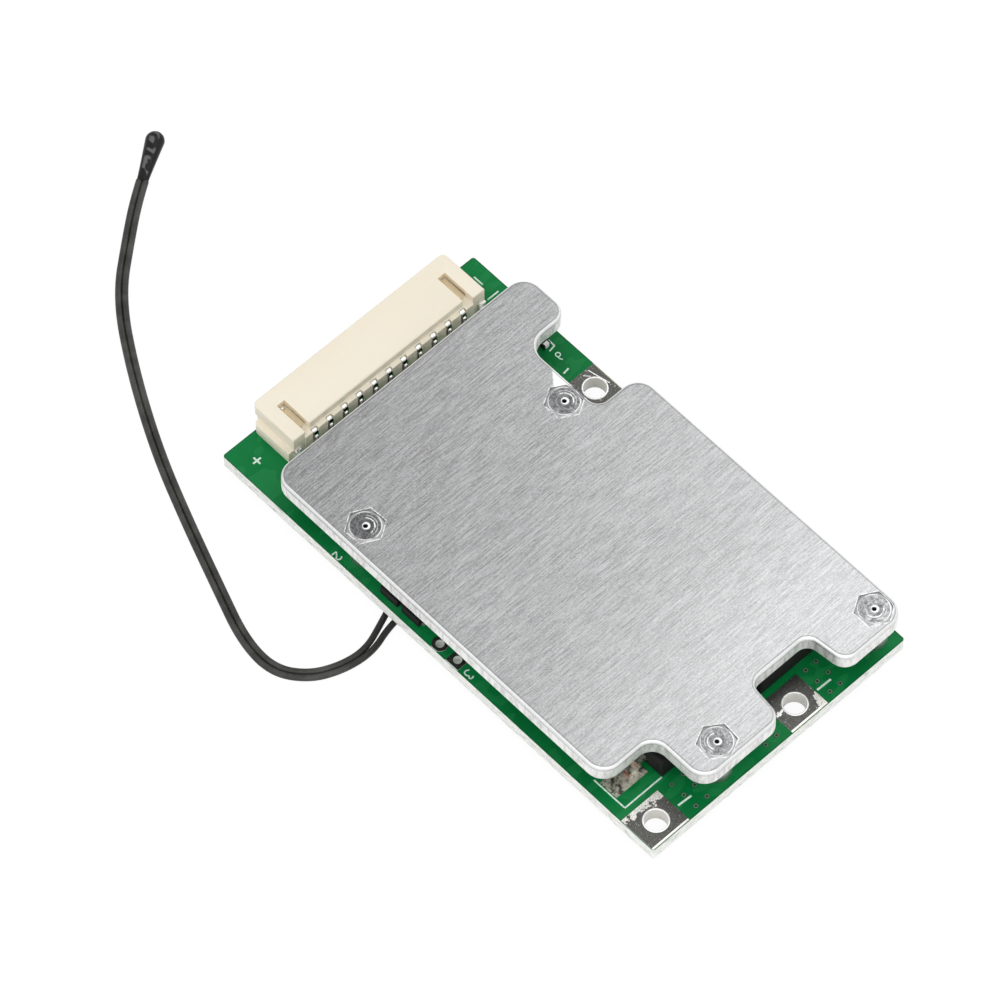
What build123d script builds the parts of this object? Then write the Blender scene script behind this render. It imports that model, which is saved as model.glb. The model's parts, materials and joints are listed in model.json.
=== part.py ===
from build123d import *
import os
from math import radians, sin, tan

# A battery management board: a green circuit board that carries a row of power
# transistors under a brushed aluminium heat spreader, with an eleven-way
# side-entry header at one end, three plated wire holes and a thermistor lead.
# Millimetres. X runs across the board, Y along it towards the header, Z up.
# The four screw heads under the board stand on Z = 0.

# Circuit board
BOARD_WIDTH = 34.0
BOARD_LENGTH = 61.0
BOARD_THICKNESS = 1.6
BOARD_CORNER = 0.3
COPPER = 0.07

# Screws and standoffs that hold the heat spreader
SCREW_HEAD_DIAMETER = 3.8
SCREW_HEAD_HEIGHT = 1.3
SCREW_DIAMETER = 2.0
SCREW_REACH = 3.0
SCREW_DRIVE_WIDTH = 0.5
SCREW_DRIVE_REACH = 0.95
SCREW_DRIVE_DEPTH = 0.6
SCREW_CLEARANCE = 0.1
SCREW_FIT = 0.02
STANDOFF_LENGTH = 3.4
STANDOFF_BARREL = 3.2
STANDOFF_ACROSS_FLATS = 3.5
STANDOFF_HEAD = 1.0
STANDOFF_BORE_TOP = 0.4
CENTRE_MARK = 0.9
CENTRE_MARK_DEPTH = 0.5
BARREL_CLEARANCE = 0.05

# Heat spreader plate
PLATE_THICKNESS = 2.0
PLATE_EDGE_BREAK = 0.3
PLATE_FROM_HEADER_EDGE = 7.4
PLATE_CORNER = 2.1
NOTCH_OUTER_CORNER = 1.7
NOTCH_INNER_CORNER = 1.3
B_NOTCH_DEPTH = 5.6
B_NOTCH_WIDTH = 10.0
B_NOTCH_BEHIND_HOLE = 4.1
P_NOTCH_DEPTH = 4.8
P_NOTCH_WIDTH = 8.6
P_NOTCH_LEFT_OF_HOLE = 4.1
P_NOTCH_TAPER = 0.5
C_CORNER_WIDTH = 6.6
C_CORNER_DEPTH = 7.0

# Where the standoffs stand, from the nearest board edges
HEADER_RIGHT_FROM_RIGHT = 7.5
HEADER_RIGHT_FROM_HEADER_EDGE = 20.95
HEADER_LEFT_FROM_LEFT = 2.6
HEADER_LEFT_FROM_HEADER_EDGE = 18.0
REAR_RIGHT_FROM_RIGHT = 2.15
REAR_RIGHT_FROM_REAR = 2.4
REAR_LEFT_FROM_LEFT = 10.6
REAR_LEFT_FROM_REAR = 2.35

# Wire terminals: plated holes in tinned pads
TERMINAL_BORE = 2.7
BARREL_WALL = 0.2
TERMINAL_PAD_ACROSS = 4.8
TERMINAL_PAD_ALONG = 4.4
TERMINAL_FROM_REAR = 2.2
C_TERMINAL_FROM_LEFT = 2.5
P_TERMINAL_FROM_LEFT = 21.15
B_TERMINAL_FROM_RIGHT = 1.95
B_TERMINAL_FROM_HEADER_EDGE = 19.6

# Unused two-hole footprint at the left edge
SPARE_HOLE = 0.9
SPARE_PAD = 1.7
SPARE_PITCH = 2.5
SPARE_FROM_LEFT = 0.87

# Room along the left edge: standoff to diodes, diodes to footprint, footprint to lands
STANDOFF_TO_DIODE = 2.2
DIODE_TO_RING = 1.65
PAD_TO_LAND = 2.36

# Eleven-way header
WAYS = 11
PITCH = 2.0
HEADER_FROM_LEFT = 17.76
HEADER_OVERHANG = 0.85
HOUSING_END = 2.9
HOUSING_HEIGHT = 3.45
HOUSING_WING_DEPTH = 6.0
HOUSING_SLAB_DEPTH = 5.55
HOUSING_DEPTH = 6.1
HOUSING_CORNER = 0.6
HOUSING_EDGE_BREAK = 0.12
LEDGE_HEIGHT = 2.4
WING_WIDTH = 1.55
WINDOW_WIDTH = 1.0
WINDOW_START = 1.9
WINDOW_END = 4.75
CAVITY_FLOOR = 0.85
CAVITY_ROOF = 0.6
CAVITY_WALL = 1.2
CAVITY_DEPTH = 4.85
FLANGE_HEIGHT = 1.55
FLANGE_WIDTH = 0.65
FLANGE_LONG = 5.1
FLANGE_SHORT = 4.4
FLANGE_CORNER = 0.5
MOUTH_RELIEF_WIDTH = 0.6
MOUTH_RELIEF_HEIGHT = 1.9
PIN_SIZE = 0.5
PIN_HEIGHT = 1.95
PIN_BEND = 0.3
PIN_TIP_FROM_FRONT = 1.2
PIN_TIP_BREAK = 0.12
PIN_DROP_FROM_REAR = 0.12
PIN_FOOT_REACH = 1.9
PIN_CLEARANCE = 0.02
PIN_SLOT = 0.75
PIN_SLOT_DEPTH = 0.42
TAB_WIDTH = 0.85
TAB_FROM_END = 0.05
TAB_HEIGHT = 1.5
TAB_FOOT = 1.5
TAB_SHEET = 0.3

# Moulded power transistors, two across and two along, leads towards the left edge
BODY_ALONG = 10.2
BODY_ACROSS = 9.2
BODY_HEIGHT = 2.4
BODY_UNDERSIDE = 0.1
BODY_DRAFT = 0.2
BODY_FROM_LEFT = 6.15
BODY_FROM_REAR = 5.15
COLUMN_STEP = 13.2
COLUMNS = 2
ROW_STEP = 11.0
ROWS = 2
LEAD_WIDTH = 0.75
LEAD_SHEET = 0.5
LEAD_PITCH = 2.54
LEAD_OUT_AT = 1.0
LEAD_KNEE = 0.95
LEAD_ANKLE = 1.2
LEAD_REACH = 2.25
LEAD_CUT_REACH = 1.0
LEAD_LAND_WIDTH = 2.3
LEAD_LAND_START = 0.5
LEAD_LAND_REACH = 4.7
DRAIN_TAB_REACH = 1.2
DRAIN_TAB_WIDTH = 8.0
DRAIN_TAB_INSIDE = 6.0
DRAIN_LAND_MARGIN = 0.4

# Thermal pad between the transistors and the heat spreader
PAD_MARGIN = 0.8

# Protection chip
CHIP_LONG = 10.2
CHIP_SHORT = 5.3
CHIP_HEIGHT = 1.75
CHIP_LEADS = 14
CHIP_LEAD_PITCH = 0.65
CHIP_LEAD_WIDTH = 0.3
CHIP_LEAD_KNEE = 0.5
CHIP_LEAD_REACH = 1.2
CHIP_LEAD_SHEET = 0.15
CHIP_STANDOFF = 0.1

# Chip resistors and the chip capacitor
BALANCE_LONG = 3.2
BALANCE_WIDE = 1.6
BALANCE_HIGH = 0.6
BALANCE_COUNT = 10
BALANCE_PITCH = 2.4
SHUNT_LONG = 6.3
SHUNT_WIDE = 3.1
SHUNT_HIGH = 0.8
SHUNT_COUNT = 3
SHUNT_PITCH = 3.9
SHUNT_FROM_LEFT = 13.5
CAPACITOR_LONG = 1.6
CAPACITOR_WIDE = 0.85
CAPACITOR_HIGH = 0.6
CAPACITOR_FROM_RIGHT = 2.05
CAPACITOR_FROM_HEADER_EDGE = 12.1
CHIP_END = 0.45

# Small diodes at the left edge
DIODE_LONG = 2.4
DIODE_WIDE = 1.5
DIODE_HEIGHT = 1.1
DIODE_LEAD = 0.3
DIODE_LEAD_WIDTH = 0.6
DIODE_FROM_LEFT = 0.62
DIODE_STEP = 3.05
DIODE_COUNT = 2

# Thermistor lead: two insulated wires side by side, and a glossy drop at the end
WIRE = 0.65
WIRE_SIDES = 8
WIRE_GAP = 0.02
BEAD_DIAMETER = 2.1
BEAD_LENGTH = 6.05
BEAD_NECK = 1.45
SOLDER_LONG = 2.2
SOLDER_WIDE = 1.7
SOLDER_HEIGHT = 0.85

board_bottom = SCREW_HEAD_HEIGHT
board_top = board_bottom + BOARD_THICKNESS
land_top = board_top + COPPER
plate_bottom = board_top + STANDOFF_LENGTH
plate_top = plate_bottom + PLATE_THICKNESS
left = -BOARD_WIDTH / 2
right = BOARD_WIDTH / 2
# The header overhangs its edge, and Y = 0 is the middle of both together.
header_edge = (BOARD_LENGTH - HEADER_OVERHANG) / 2
rear_edge = header_edge - BOARD_LENGTH
housing_width = (WAYS - 1) * PITCH + 2 * HOUSING_END
housing_x = left + HEADER_FROM_LEFT
housing_front = header_edge + HEADER_OVERHANG
pin_drop = housing_front - HOUSING_DEPTH + PIN_DROP_FROM_REAR
pin_toe = pin_drop - PIN_FOOT_REACH

b_terminal = (right - B_TERMINAL_FROM_RIGHT, header_edge - B_TERMINAL_FROM_HEADER_EDGE)
p_terminal = (left + P_TERMINAL_FROM_LEFT, rear_edge + TERMINAL_FROM_REAR)
c_terminal = (left + C_TERMINAL_FROM_LEFT, rear_edge + TERMINAL_FROM_REAR)
standoff_places = {
    "header_right": (right - HEADER_RIGHT_FROM_RIGHT, header_edge - HEADER_RIGHT_FROM_HEADER_EDGE),
    "header_left": (left + HEADER_LEFT_FROM_LEFT, header_edge - HEADER_LEFT_FROM_HEADER_EDGE),
    "rear_right": (right - REAR_RIGHT_FROM_RIGHT, rear_edge + REAR_RIGHT_FROM_REAR),
    "rear_left": (left + REAR_LEFT_FROM_LEFT, rear_edge + REAR_LEFT_FROM_REAR),
}
standoff_turns = {"header_right": 14, "header_left": -4, "rear_right": 30, "rear_left": 22}
pin_places = [housing_x + (i - (WAYS - 1) / 2) * PITCH for i in range(WAYS)]


def block(x0, x1, y0, y1, z0, z1):
    """A box between two opposite corners."""
    size = Box(abs(x1 - x0), abs(y1 - y0), abs(z1 - z0))
    return Pos((x0 + x1) / 2, (y0 + y1) / 2, (z0 + z1) / 2) * size


def post(place, radius, z0, z1):
    """An upright cylinder at a place on the board."""
    return Pos(place[0], place[1], (z0 + z1) / 2) * Cylinder(radius, z1 - z0)


def transistor_place(column, row):
    """The left side and the middle of one transistor's body."""
    x = left + BODY_FROM_LEFT + column * COLUMN_STEP
    return x, rear_edge + BODY_FROM_REAR + BODY_ALONG / 2 + row * ROW_STEP


def left_edge_places():
    """The first diode and the round pad, spread between the standoff and the lands."""
    start = standoff_places["header_left"][1] - STANDOFF_BARREL / 2
    end = transistor_place(0, ROWS - 1)[1] + LEAD_PITCH + LEAD_LAND_WIDTH / 2
    diodes = (DIODE_COUNT - 1) * DIODE_STEP + DIODE_LONG + 2 * DIODE_LEAD
    footprint = SPARE_PITCH + SPARE_PAD
    gaps = STANDOFF_TO_DIODE + DIODE_TO_RING + PAD_TO_LAND
    ease = (start - end - diodes - footprint) / gaps
    diode_y = start - STANDOFF_TO_DIODE * ease - DIODE_LONG / 2 - DIODE_LEAD
    ring_y = start - (STANDOFF_TO_DIODE + DIODE_TO_RING) * ease - diodes - SPARE_PAD / 2
    return diode_y, ring_y


def spare_places():
    """The two holes of the unused footprint, the round pad first."""
    x = left + SPARE_FROM_LEFT
    y = left_edge_places()[1]
    return [(x, y), (x, y - SPARE_PITCH)]


def circuit_board():
    """The glass-fibre board with its terminal, screw and footprint holes."""
    board = block(left, right, rear_edge, header_edge, board_bottom, board_top)
    board = fillet(board.edges().filter_by(Axis.Z), BOARD_CORNER)
    for place in (b_terminal, p_terminal, c_terminal):
        board -= post(place, TERMINAL_BORE / 2 + BARREL_WALL, 0, board_top + 1)
    for place in standoff_places.values():
        board -= post(place, SCREW_DIAMETER / 2 + SCREW_CLEARANCE, 0, board_top + 1)
    for place in spare_places():
        board -= post(place, SPARE_HOLE / 2, 0, board_top + 1)
    return board


def terminal(place, x0, x1, y0, y1):
    """A tinned pad on each face of the board and the plated barrel between them."""
    bore = TERMINAL_BORE / 2
    pads = block(x0, x1, y0, y1, board_top, board_top + COPPER)
    pads += block(x0, x1, y0, y1, board_bottom - COPPER, board_bottom)
    pads += post(place, bore + BARREL_WALL, board_bottom - COPPER, board_top + COPPER)
    return pads - post(place, bore, 0, board_top + 1)


def c_terminal_piece():
    x0 = left + COPPER
    y0 = rear_edge + COPPER
    return terminal(c_terminal, x0, x0 + TERMINAL_PAD_ACROSS, y0, y0 + TERMINAL_PAD_ALONG)


def p_terminal_piece():
    x0 = p_terminal[0] - TERMINAL_PAD_ACROSS / 2
    y0 = rear_edge + COPPER
    return terminal(p_terminal, x0, x0 + TERMINAL_PAD_ACROSS, y0, y0 + TERMINAL_PAD_ALONG)


def b_terminal_piece():
    x1 = right - COPPER
    y0 = b_terminal[1] - TERMINAL_PAD_ALONG / 2
    return terminal(b_terminal, x1 - TERMINAL_PAD_ALONG, x1, y0, y0 + TERMINAL_PAD_ALONG)


def spare_pads():
    """The ring and the square pad of the unused footprint, cut off at the board's edge."""
    places = spare_places()
    z1 = board_top + COPPER
    ring = post(places[0], SPARE_PAD / 2, board_top, z1)
    x, y = places[1]
    half = SPARE_PAD / 2
    square = block(x - half, x + half, y - half, y + half, board_top, z1)
    pads = []
    for pad, place in ((ring, places[0]), (square, places[1])):
        pad -= post(place, SPARE_HOLE / 2, 0, z1 + 1)
        pad -= block(left - SPARE_PAD, left + COPPER, y - SPARE_PAD, places[0][1] + SPARE_PAD, 0, z1 + 1)
        pads.append(pad)
    return Compound(children=[solid for pad in pads for solid in pad.solids()])


def plate_outline():
    """The plate's corners and their radii, walked round from the header's left side."""
    front = header_edge - PLATE_FROM_HEADER_EDGE
    b_start = b_terminal[1] + B_NOTCH_WIDTH - B_NOTCH_BEHIND_HOLE
    b_end = b_terminal[1] - B_NOTCH_BEHIND_HOLE
    p_left = p_terminal[0] - P_NOTCH_LEFT_OF_HOLE
    p_right = p_left + P_NOTCH_WIDTH
    b_inner = right - B_NOTCH_DEPTH
    p_inner = rear_edge + P_NOTCH_DEPTH
    c_right = left + C_CORNER_WIDTH
    c_inner = rear_edge + C_CORNER_DEPTH
    return [
        (left, front, PLATE_CORNER),
        (right, front, PLATE_CORNER),
        (right, b_start, NOTCH_OUTER_CORNER),
        (b_inner, b_start, PLATE_CORNER),
        (b_inner, b_end, NOTCH_INNER_CORNER),
        (right, b_end, PLATE_CORNER),
        (right, rear_edge, PLATE_CORNER),
        (p_right, rear_edge, NOTCH_OUTER_CORNER),
        (p_right - P_NOTCH_TAPER, p_inner, NOTCH_INNER_CORNER),
        (p_left + P_NOTCH_TAPER, p_inner, NOTCH_INNER_CORNER),
        (p_left, rear_edge, NOTCH_OUTER_CORNER),
        (c_right, rear_edge, PLATE_CORNER),
        (c_right, c_inner, NOTCH_OUTER_CORNER),
        (left, c_inner, PLATE_CORNER),
    ]


def standoff_head(name, z0, z1):
    """The hexagon that is pressed flush into the plate, turned as that piece is."""
    x, y = standoff_places[name]
    corners = RegularPolygon(STANDOFF_ACROSS_FLATS / 2, 6, major_radius=False)
    place = Pos(x, y, z0) * Rot(0, 0, standoff_turns[name])
    return extrude(place * corners, z1 - z0)


def heatsink_plate():
    """The punched plate: broken upper edges and four seats for the hexagons."""
    outline = plate_outline()
    path = FilletPolyline(*[p[:2] for p in outline], radius=[p[2] for p in outline], close=True)
    plate = extrude(Pos(0, 0, plate_bottom) * make_face(path), PLATE_THICKNESS)
    plate = chamfer(plate.edges().group_by(Axis.Z)[-1], PLATE_EDGE_BREAK)
    for name, place in standoff_places.items():
        plate -= standoff_head(name, plate_top - STANDOFF_HEAD, plate_top + 1)
        plate -= post(place, STANDOFF_BARREL / 2 + BARREL_CLEARANCE, plate_bottom - 1, plate_top)
    return plate


def standoff(name):
    """A flush-head standoff: hexagon, barrel, blind screw bore and a turned centre mark."""
    place = standoff_places[name]
    bore_top = plate_top - STANDOFF_HEAD - STANDOFF_BORE_TOP
    piece = standoff_head(name, plate_top - STANDOFF_HEAD, plate_top)
    piece += post(place, STANDOFF_BARREL / 2, board_top, plate_top - STANDOFF_HEAD)
    piece -= post(place, SCREW_DIAMETER / 2, board_top - 1, bore_top)
    cone = Cone(0, CENTRE_MARK / 2, CENTRE_MARK_DEPTH)
    return piece - Pos(place[0], place[1], plate_top - CENTRE_MARK_DEPTH / 2) * cone


def board_screw(name):
    """A machine screw with a cross drive, from below into the standoff."""
    place = standoff_places[name]
    head = post(place, SCREW_HEAD_DIAMETER / 2, 0, SCREW_HEAD_HEIGHT)
    x, y = place
    half = SCREW_DRIVE_WIDTH / 2
    arm = SCREW_DRIVE_REACH
    head -= block(x - half, x + half, y - arm, y + arm, 0, SCREW_DRIVE_DEPTH)
    head -= block(x - arm, x + arm, y - half, y + half, 0, SCREW_DRIVE_DEPTH)
    shank_top = board_top + SCREW_REACH
    return head + post(place, SCREW_DIAMETER / 2 - SCREW_FIT, SCREW_HEAD_HEIGHT, shank_top)


def housing_block(x0, x1, deep, shallow, z0, z1):
    """A box of the header: X from its middle, depths from its mouth, heights from the board."""
    x0 += housing_x
    x1 += housing_x
    return block(x0, x1, housing_front - deep, housing_front - shallow, board_top + z0, board_top + z1)


def housing_outside():
    """The slab between its end wings, the rear ledge, and the mouth's lower relief."""
    half = housing_width / 2
    inner = half - WING_WIDTH
    body = housing_block(-half, half, HOUSING_WING_DEPTH, 0, 0, HOUSING_HEIGHT)
    body -= housing_block(-inner, inner, HOUSING_WING_DEPTH, HOUSING_SLAB_DEPTH, 0, HOUSING_HEIGHT)
    body += housing_block(-inner, inner, HOUSING_DEPTH, HOUSING_SLAB_DEPTH, 0, LEDGE_HEIGHT)
    body = fillet(body.edges().filter_by(Axis.Z).group_by(Axis.Y)[-1], HOUSING_CORNER)
    body = chamfer(body.edges().filter_by(Axis.X).group_by(Axis.Z)[-1], HOUSING_EDGE_BREAK)
    for side in (-1, 1):
        edge = side * (half - MOUTH_RELIEF_WIDTH)
        outer = side * (half + FLANGE_WIDTH)
        body -= housing_block(edge, outer, HEADER_OVERHANG, -1, 0, MOUTH_RELIEF_HEIGHT)
    return body


def housing_flange(side, length):
    """The low foot along one end, with a rounded front corner."""
    half = housing_width / 2
    inner = side * (half - MOUTH_RELIEF_WIDTH)
    outer = side * (half + FLANGE_WIDTH)
    foot = housing_block(inner, outer, HEADER_OVERHANG + length, HEADER_OVERHANG, 0, FLANGE_HEIGHT)
    corner = foot.edges().filter_by(Axis.Z).group_by(Axis.Y)[-1].sort_by(Axis.X)
    return fillet(corner[0] if side < 0 else corner[-1], FLANGE_CORNER)


def connector_housing():
    """The side-entry shroud: feet, windows, ledge with pin slots, and the open cavity."""
    half = housing_width / 2
    inner = half - WING_WIDTH
    above = HOUSING_HEIGHT + 1
    body = housing_outside() + housing_flange(-1, FLANGE_LONG) + housing_flange(1, FLANGE_SHORT)
    for side in (-1, 1):
        x0 = side * inner
        x1 = side * (inner - WINDOW_WIDTH)
        body -= housing_block(x0, x1, WINDOW_END, WINDOW_START, CAVITY_FLOOR, above)
        body -= housing_block(x0, x1, HOUSING_SLAB_DEPTH, WINDOW_END, LEDGE_HEIGHT, above)
    cavity = half - CAVITY_WALL
    roof = HOUSING_HEIGHT - CAVITY_ROOF
    body -= housing_block(-cavity, cavity, CAVITY_DEPTH, -1, CAVITY_FLOOR, roof)
    hole = PIN_SIZE / 2 + PIN_CLEARANCE
    slot = PIN_SLOT / 2
    slot_end = HOUSING_DEPTH - PIN_SLOT_DEPTH
    for place in pin_places:
        x = place - housing_x
        body -= housing_block(x - hole, x + hole, HOUSING_DEPTH, 0, PIN_HEIGHT - hole, PIN_HEIGHT + hole)
        body -= housing_block(x - slot, x + slot, HOUSING_DEPTH + 1, slot_end, -1, above)
    return body


def contact(x):
    """One square header pin: straight in the cavity, down the rear slot, foot on the board."""
    z = board_top + PIN_HEIGHT
    half = PIN_SIZE / 2
    tip = (x, housing_front - PIN_TIP_FROM_FRONT, z)
    path = FilletPolyline(tip, (x, pin_drop, z), (x, pin_drop, board_top), radius=PIN_BEND)
    pin = sweep(Plane(origin=tip, z_dir=(0, -1, 0)) * Rectangle(PIN_SIZE, PIN_SIZE), path=path)
    pin = chamfer(pin.faces().sort_by(Axis.Y)[-1].edges(), PIN_TIP_BREAK)
    return pin + block(x - half, x + half, pin_toe, pin_drop - half, board_top, board_top + PIN_SIZE)


def hold_down(side):
    """The sheet tab that solders one end of the shroud to the board."""
    x0 = housing_x + side * (housing_width / 2 - TAB_FROM_END)
    x1 = x0 - side * TAB_WIDTH
    y1 = housing_front - HOUSING_WING_DEPTH
    riser = block(x0, x1, y1 - TAB_SHEET, y1, board_top, board_top + TAB_HEIGHT)
    return riser + block(x0, x1, y1 - TAB_FOOT, y1, board_top, board_top + TAB_SHEET)


def moulded_body(x0, x1, y0, y1, z0, z1):
    """A moulded package whose upper half draws in towards its top."""
    middle = (z0 + z1) / 2
    low = block(x0, x1, y0, y1, z0, middle)
    base = Pos((x0 + x1) / 2, (y0 + y1) / 2, middle) * Rectangle(abs(x1 - x0), abs(y1 - y0))
    face = Pos((x0 + x1) / 2, (y0 + y1) / 2, z1)
    face *= Rectangle(abs(x1 - x0) - 2 * BODY_DRAFT, abs(y1 - y0) - 2 * BODY_DRAFT)
    return low + loft([base, face])


def drain_tab(column, row, z0, z1, margin=0.0):
    """The broad tab on the side away from the leads, or its land when given a margin."""
    x, y = transistor_place(column, row)
    end = x + BODY_ACROSS + DRAIN_TAB_REACH
    half = DRAIN_TAB_WIDTH / 2 + margin
    return block(end - DRAIN_TAB_REACH - DRAIN_TAB_INSIDE, end + margin, y - half, y + half, z0, z1)


def transistor_body(column, row):
    """The moulded body, open underneath where the drain tab lies in it."""
    x, y = transistor_place(column, row)
    half = BODY_ALONG / 2
    z0 = land_top + BODY_UNDERSIDE
    z1 = land_top + BODY_HEIGHT
    body = moulded_body(x, x + BODY_ACROSS, y - half, y + half, z0, z1)
    return body - drain_tab(column, row, land_top, land_top + LEAD_SHEET)


def bent_lead(x_body, y):
    """A flat lead that leaves a body, bends down and lies on its land."""
    z = land_top + LEAD_OUT_AT
    foot = land_top + LEAD_SHEET / 2
    start = (x_body, y, z)
    path = Polyline(start, (x_body - LEAD_KNEE, y, z), (x_body - LEAD_ANKLE, y, foot), (x_body - LEAD_REACH, y, foot))
    section = Plane(origin=start, x_dir=(0, 1, 0), z_dir=(-1, 0, 0)) * Rectangle(LEAD_WIDTH, LEAD_SHEET)
    return sweep(section, path=path, transition=Transition.RIGHT)


def transistor_leads(column, row):
    """Two full leads, the cut middle lead and the drain tab."""
    x, y = transistor_place(column, row)
    pieces = [bent_lead(x, y + side * LEAD_PITCH) for side in (-1, 1)]
    middle = land_top + LEAD_OUT_AT
    half = LEAD_SHEET / 2
    wide = LEAD_WIDTH / 2
    pieces.append(block(x - LEAD_CUT_REACH, x, y - wide, y + wide, middle - half, middle + half))
    pieces.append(drain_tab(column, row, land_top, land_top + LEAD_SHEET))
    return Compound(children=[solid for piece in pieces for solid in piece.solids()])


def transistor_lands():
    """Tinned lands under the leads, longest at the board's left edge, and under the drain tabs."""
    lands = []
    half = LEAD_LAND_WIDTH / 2
    for column in range(COLUMNS):
        for row in range(ROWS):
            x, y = transistor_place(column, row)
            for side in (-1, 1):
                at = y + side * LEAD_PITCH
                x0 = x - (LEAD_REACH if column else LEAD_LAND_REACH)
                x1 = x - LEAD_LAND_START
                lands.append(block(x0, x1, at - half, at + half, board_top, land_top))
            lands.append(drain_tab(column, row, board_top, land_top, DRAIN_LAND_MARGIN))
    return Compound(children=lands)


def thermal_pad():
    """The soft sheet that fills the space between the transistors and the plate."""
    x0, y0 = transistor_place(0, 0)
    x1, y1 = transistor_place(COLUMNS - 1, ROWS - 1)
    inset = BODY_DRAFT + PAD_MARGIN
    half = BODY_ALONG / 2
    z0 = land_top + BODY_HEIGHT
    return block(x0 + inset, x1 + BODY_ACROSS - inset, y0 - half + inset, y1 + half - inset, z0, plate_bottom)


def row_places():
    """The middles of the hidden rows, evenly spaced between the pins' toes and the transistors."""
    end = transistor_place(0, ROWS - 1)[1] + BODY_ALONG / 2
    lengths = (BALANCE_LONG, CHIP_SHORT + 2 * CHIP_LEAD_REACH, SHUNT_LONG)
    gap = (pin_toe - end - sum(lengths)) / (len(lengths) + 1)
    places = []
    y = pin_toe
    for length in lengths:
        places.append(y - gap - length / 2)
        y -= gap + length
    return places


balance_y, chip_y, shunt_y = row_places()


def protection_chip():
    half = CHIP_SHORT / 2
    z0 = board_top + CHIP_STANDOFF
    z1 = board_top + CHIP_HEIGHT
    return moulded_body(-CHIP_LONG / 2, CHIP_LONG / 2, chip_y - half, chip_y + half, z0, z1)


def protection_chip_leads():
    """Two rows of fine gull-wing leads."""
    pieces = []
    out_at = (CHIP_STANDOFF + CHIP_HEIGHT) / 2
    for side in (-1, 1):
        for i in range(CHIP_LEADS):
            x = (i - (CHIP_LEADS - 1) / 2) * CHIP_LEAD_PITCH
            start = (x, chip_y + side * CHIP_SHORT / 2, board_top + out_at)
            knee = (x, start[1] + side * CHIP_LEAD_KNEE, start[2])
            ankle = (x, knee[1], board_top + CHIP_LEAD_SHEET / 2)
            toe = (x, start[1] + side * CHIP_LEAD_REACH, ankle[2])
            path = Polyline(start, knee, ankle, toe)
            section = Plane(origin=start, x_dir=(1, 0, 0), z_dir=(0, side, 0))
            section *= Rectangle(CHIP_LEAD_WIDTH, CHIP_LEAD_SHEET)
            pieces.append(sweep(section, path=path, transition=Transition.RIGHT))
    return Compound(children=[solid for piece in pieces for solid in piece.solids()])


def chip_part(x, y, size):
    """The body and the two metal ends of one chip part, which lies along Y."""
    long, wide, high = size
    z1 = board_top + high
    core = long / 2 - CHIP_END
    reach = long / 2
    half = wide / 2
    body = block(x - half, x + half, y - core, y + core, board_top, z1)
    ends = [block(x - half, x + half, y + s * core, y + s * reach, board_top, z1) for s in (-1, 1)]
    return body, ends


def chip_row(count, pitch, x_first, y, size):
    """A row of equal chip parts, as their bodies and their metal ends."""
    bodies = []
    ends = []
    for i in range(count):
        body, pair = chip_part(x_first + i * pitch, y, size)
        bodies.append(body)
        ends += pair
    return Compound(children=bodies), Compound(children=ends)


def sense_diodes():
    """Small moulded diodes in a row along the left edge, and their flat end leads."""
    bodies = []
    leads = []
    for i in range(DIODE_COUNT):
        x0 = left + DIODE_FROM_LEFT
        y = left_edge_places()[0] - i * DIODE_STEP
        half = DIODE_LONG / 2
        middle = x0 + DIODE_WIDE / 2
        wide = DIODE_LEAD_WIDTH / 2
        bodies.append(block(x0, x0 + DIODE_WIDE, y - half, y + half, board_top, board_top + DIODE_HEIGHT))
        for side in (-1, 1):
            y0 = y + side * half
            y1 = y + side * (half + DIODE_LEAD)
            z1 = board_top + CHIP_LEAD_SHEET
            leads.append(block(middle - wide, middle + wide, y0, y1, board_top, z1))
    return Compound(children=bodies), Compound(children=leads)


# The lead's own middle line, from under the board's left edge to the drop. The
# last stretch rises from the surface to the middle of the drop.
wire_z = WIRE / 2 + WIRE_GAP
bead_z = BEAD_DIAMETER / 2
LEAD_ROUTE = [
    (-23.8, 5.4, wire_z),
    (-26.9, 6.9, wire_z),
    (-29.0, 9.9, wire_z),
    (-28.7, 14.4, wire_z),
    (-26.6, 20.1, wire_z),
    (-23.7, 27.9, wire_z),
    (-20.4, 36.0, wire_z),
    (-15.9, 44.6, wire_z),
    (-11.0, 52.2, wire_z),
    (-5.6, 56.7, wire_z + 0.2),
    (-2.4, 59.15, bead_z),
    (-0.2, 60.6, bead_z),
]
# Where each wire parts from the other and runs in under the board to its joint.
INNER_START = [(-12.4, 7.6, 0.85), (-14.6, 7.6, 0.85), (-17.65, 6.5, wire_z), (-20.7, 5.35, wire_z)]
OUTER_START = [(-12.4, 5.6, 0.85), (-14.6, 5.6, 0.85), (-17.4, 5.65, wire_z), (-20.5, 4.65, wire_z)]


def side_route(side):
    """The middle line moved half a wire to one side, mitred at each of its points."""
    offset = side * (WIRE + WIRE_GAP) / 2
    route = []
    for i, point in enumerate(LEAD_ROUTE):
        before = Vector(*LEAD_ROUTE[max(i - 1, 0)])
        after = Vector(*LEAD_ROUTE[min(i + 1, len(LEAD_ROUTE) - 1)])
        here = Vector(*point)
        into = (here - before) if i else (after - here)
        out = (after - here) if i < len(LEAD_ROUTE) - 1 else (here - before)
        into = Vector(into.X, into.Y, 0).normalized()
        out = Vector(out.X, out.Y, 0).normalized()
        across = Vector(-(into + out).Y, (into + out).X, 0).normalized()
        reach = offset / across.dot(Vector(-into.Y, into.X, 0))
        route.append(here + across * reach)
    return route


def bend_radii(route):
    """Each arc as large as its two runs allow: 0.45 of the shorter run, over tan(turn / 2)."""
    radii = []
    for a, b, c in zip(route, route[1:], route[2:]):
        turn = (b - a).get_angle(c - b)
        shorter = min((b - a).length, (c - b).length)
        radii.append(0.45 * shorter / tan(radians(turn) / 2))
    return radii


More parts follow.
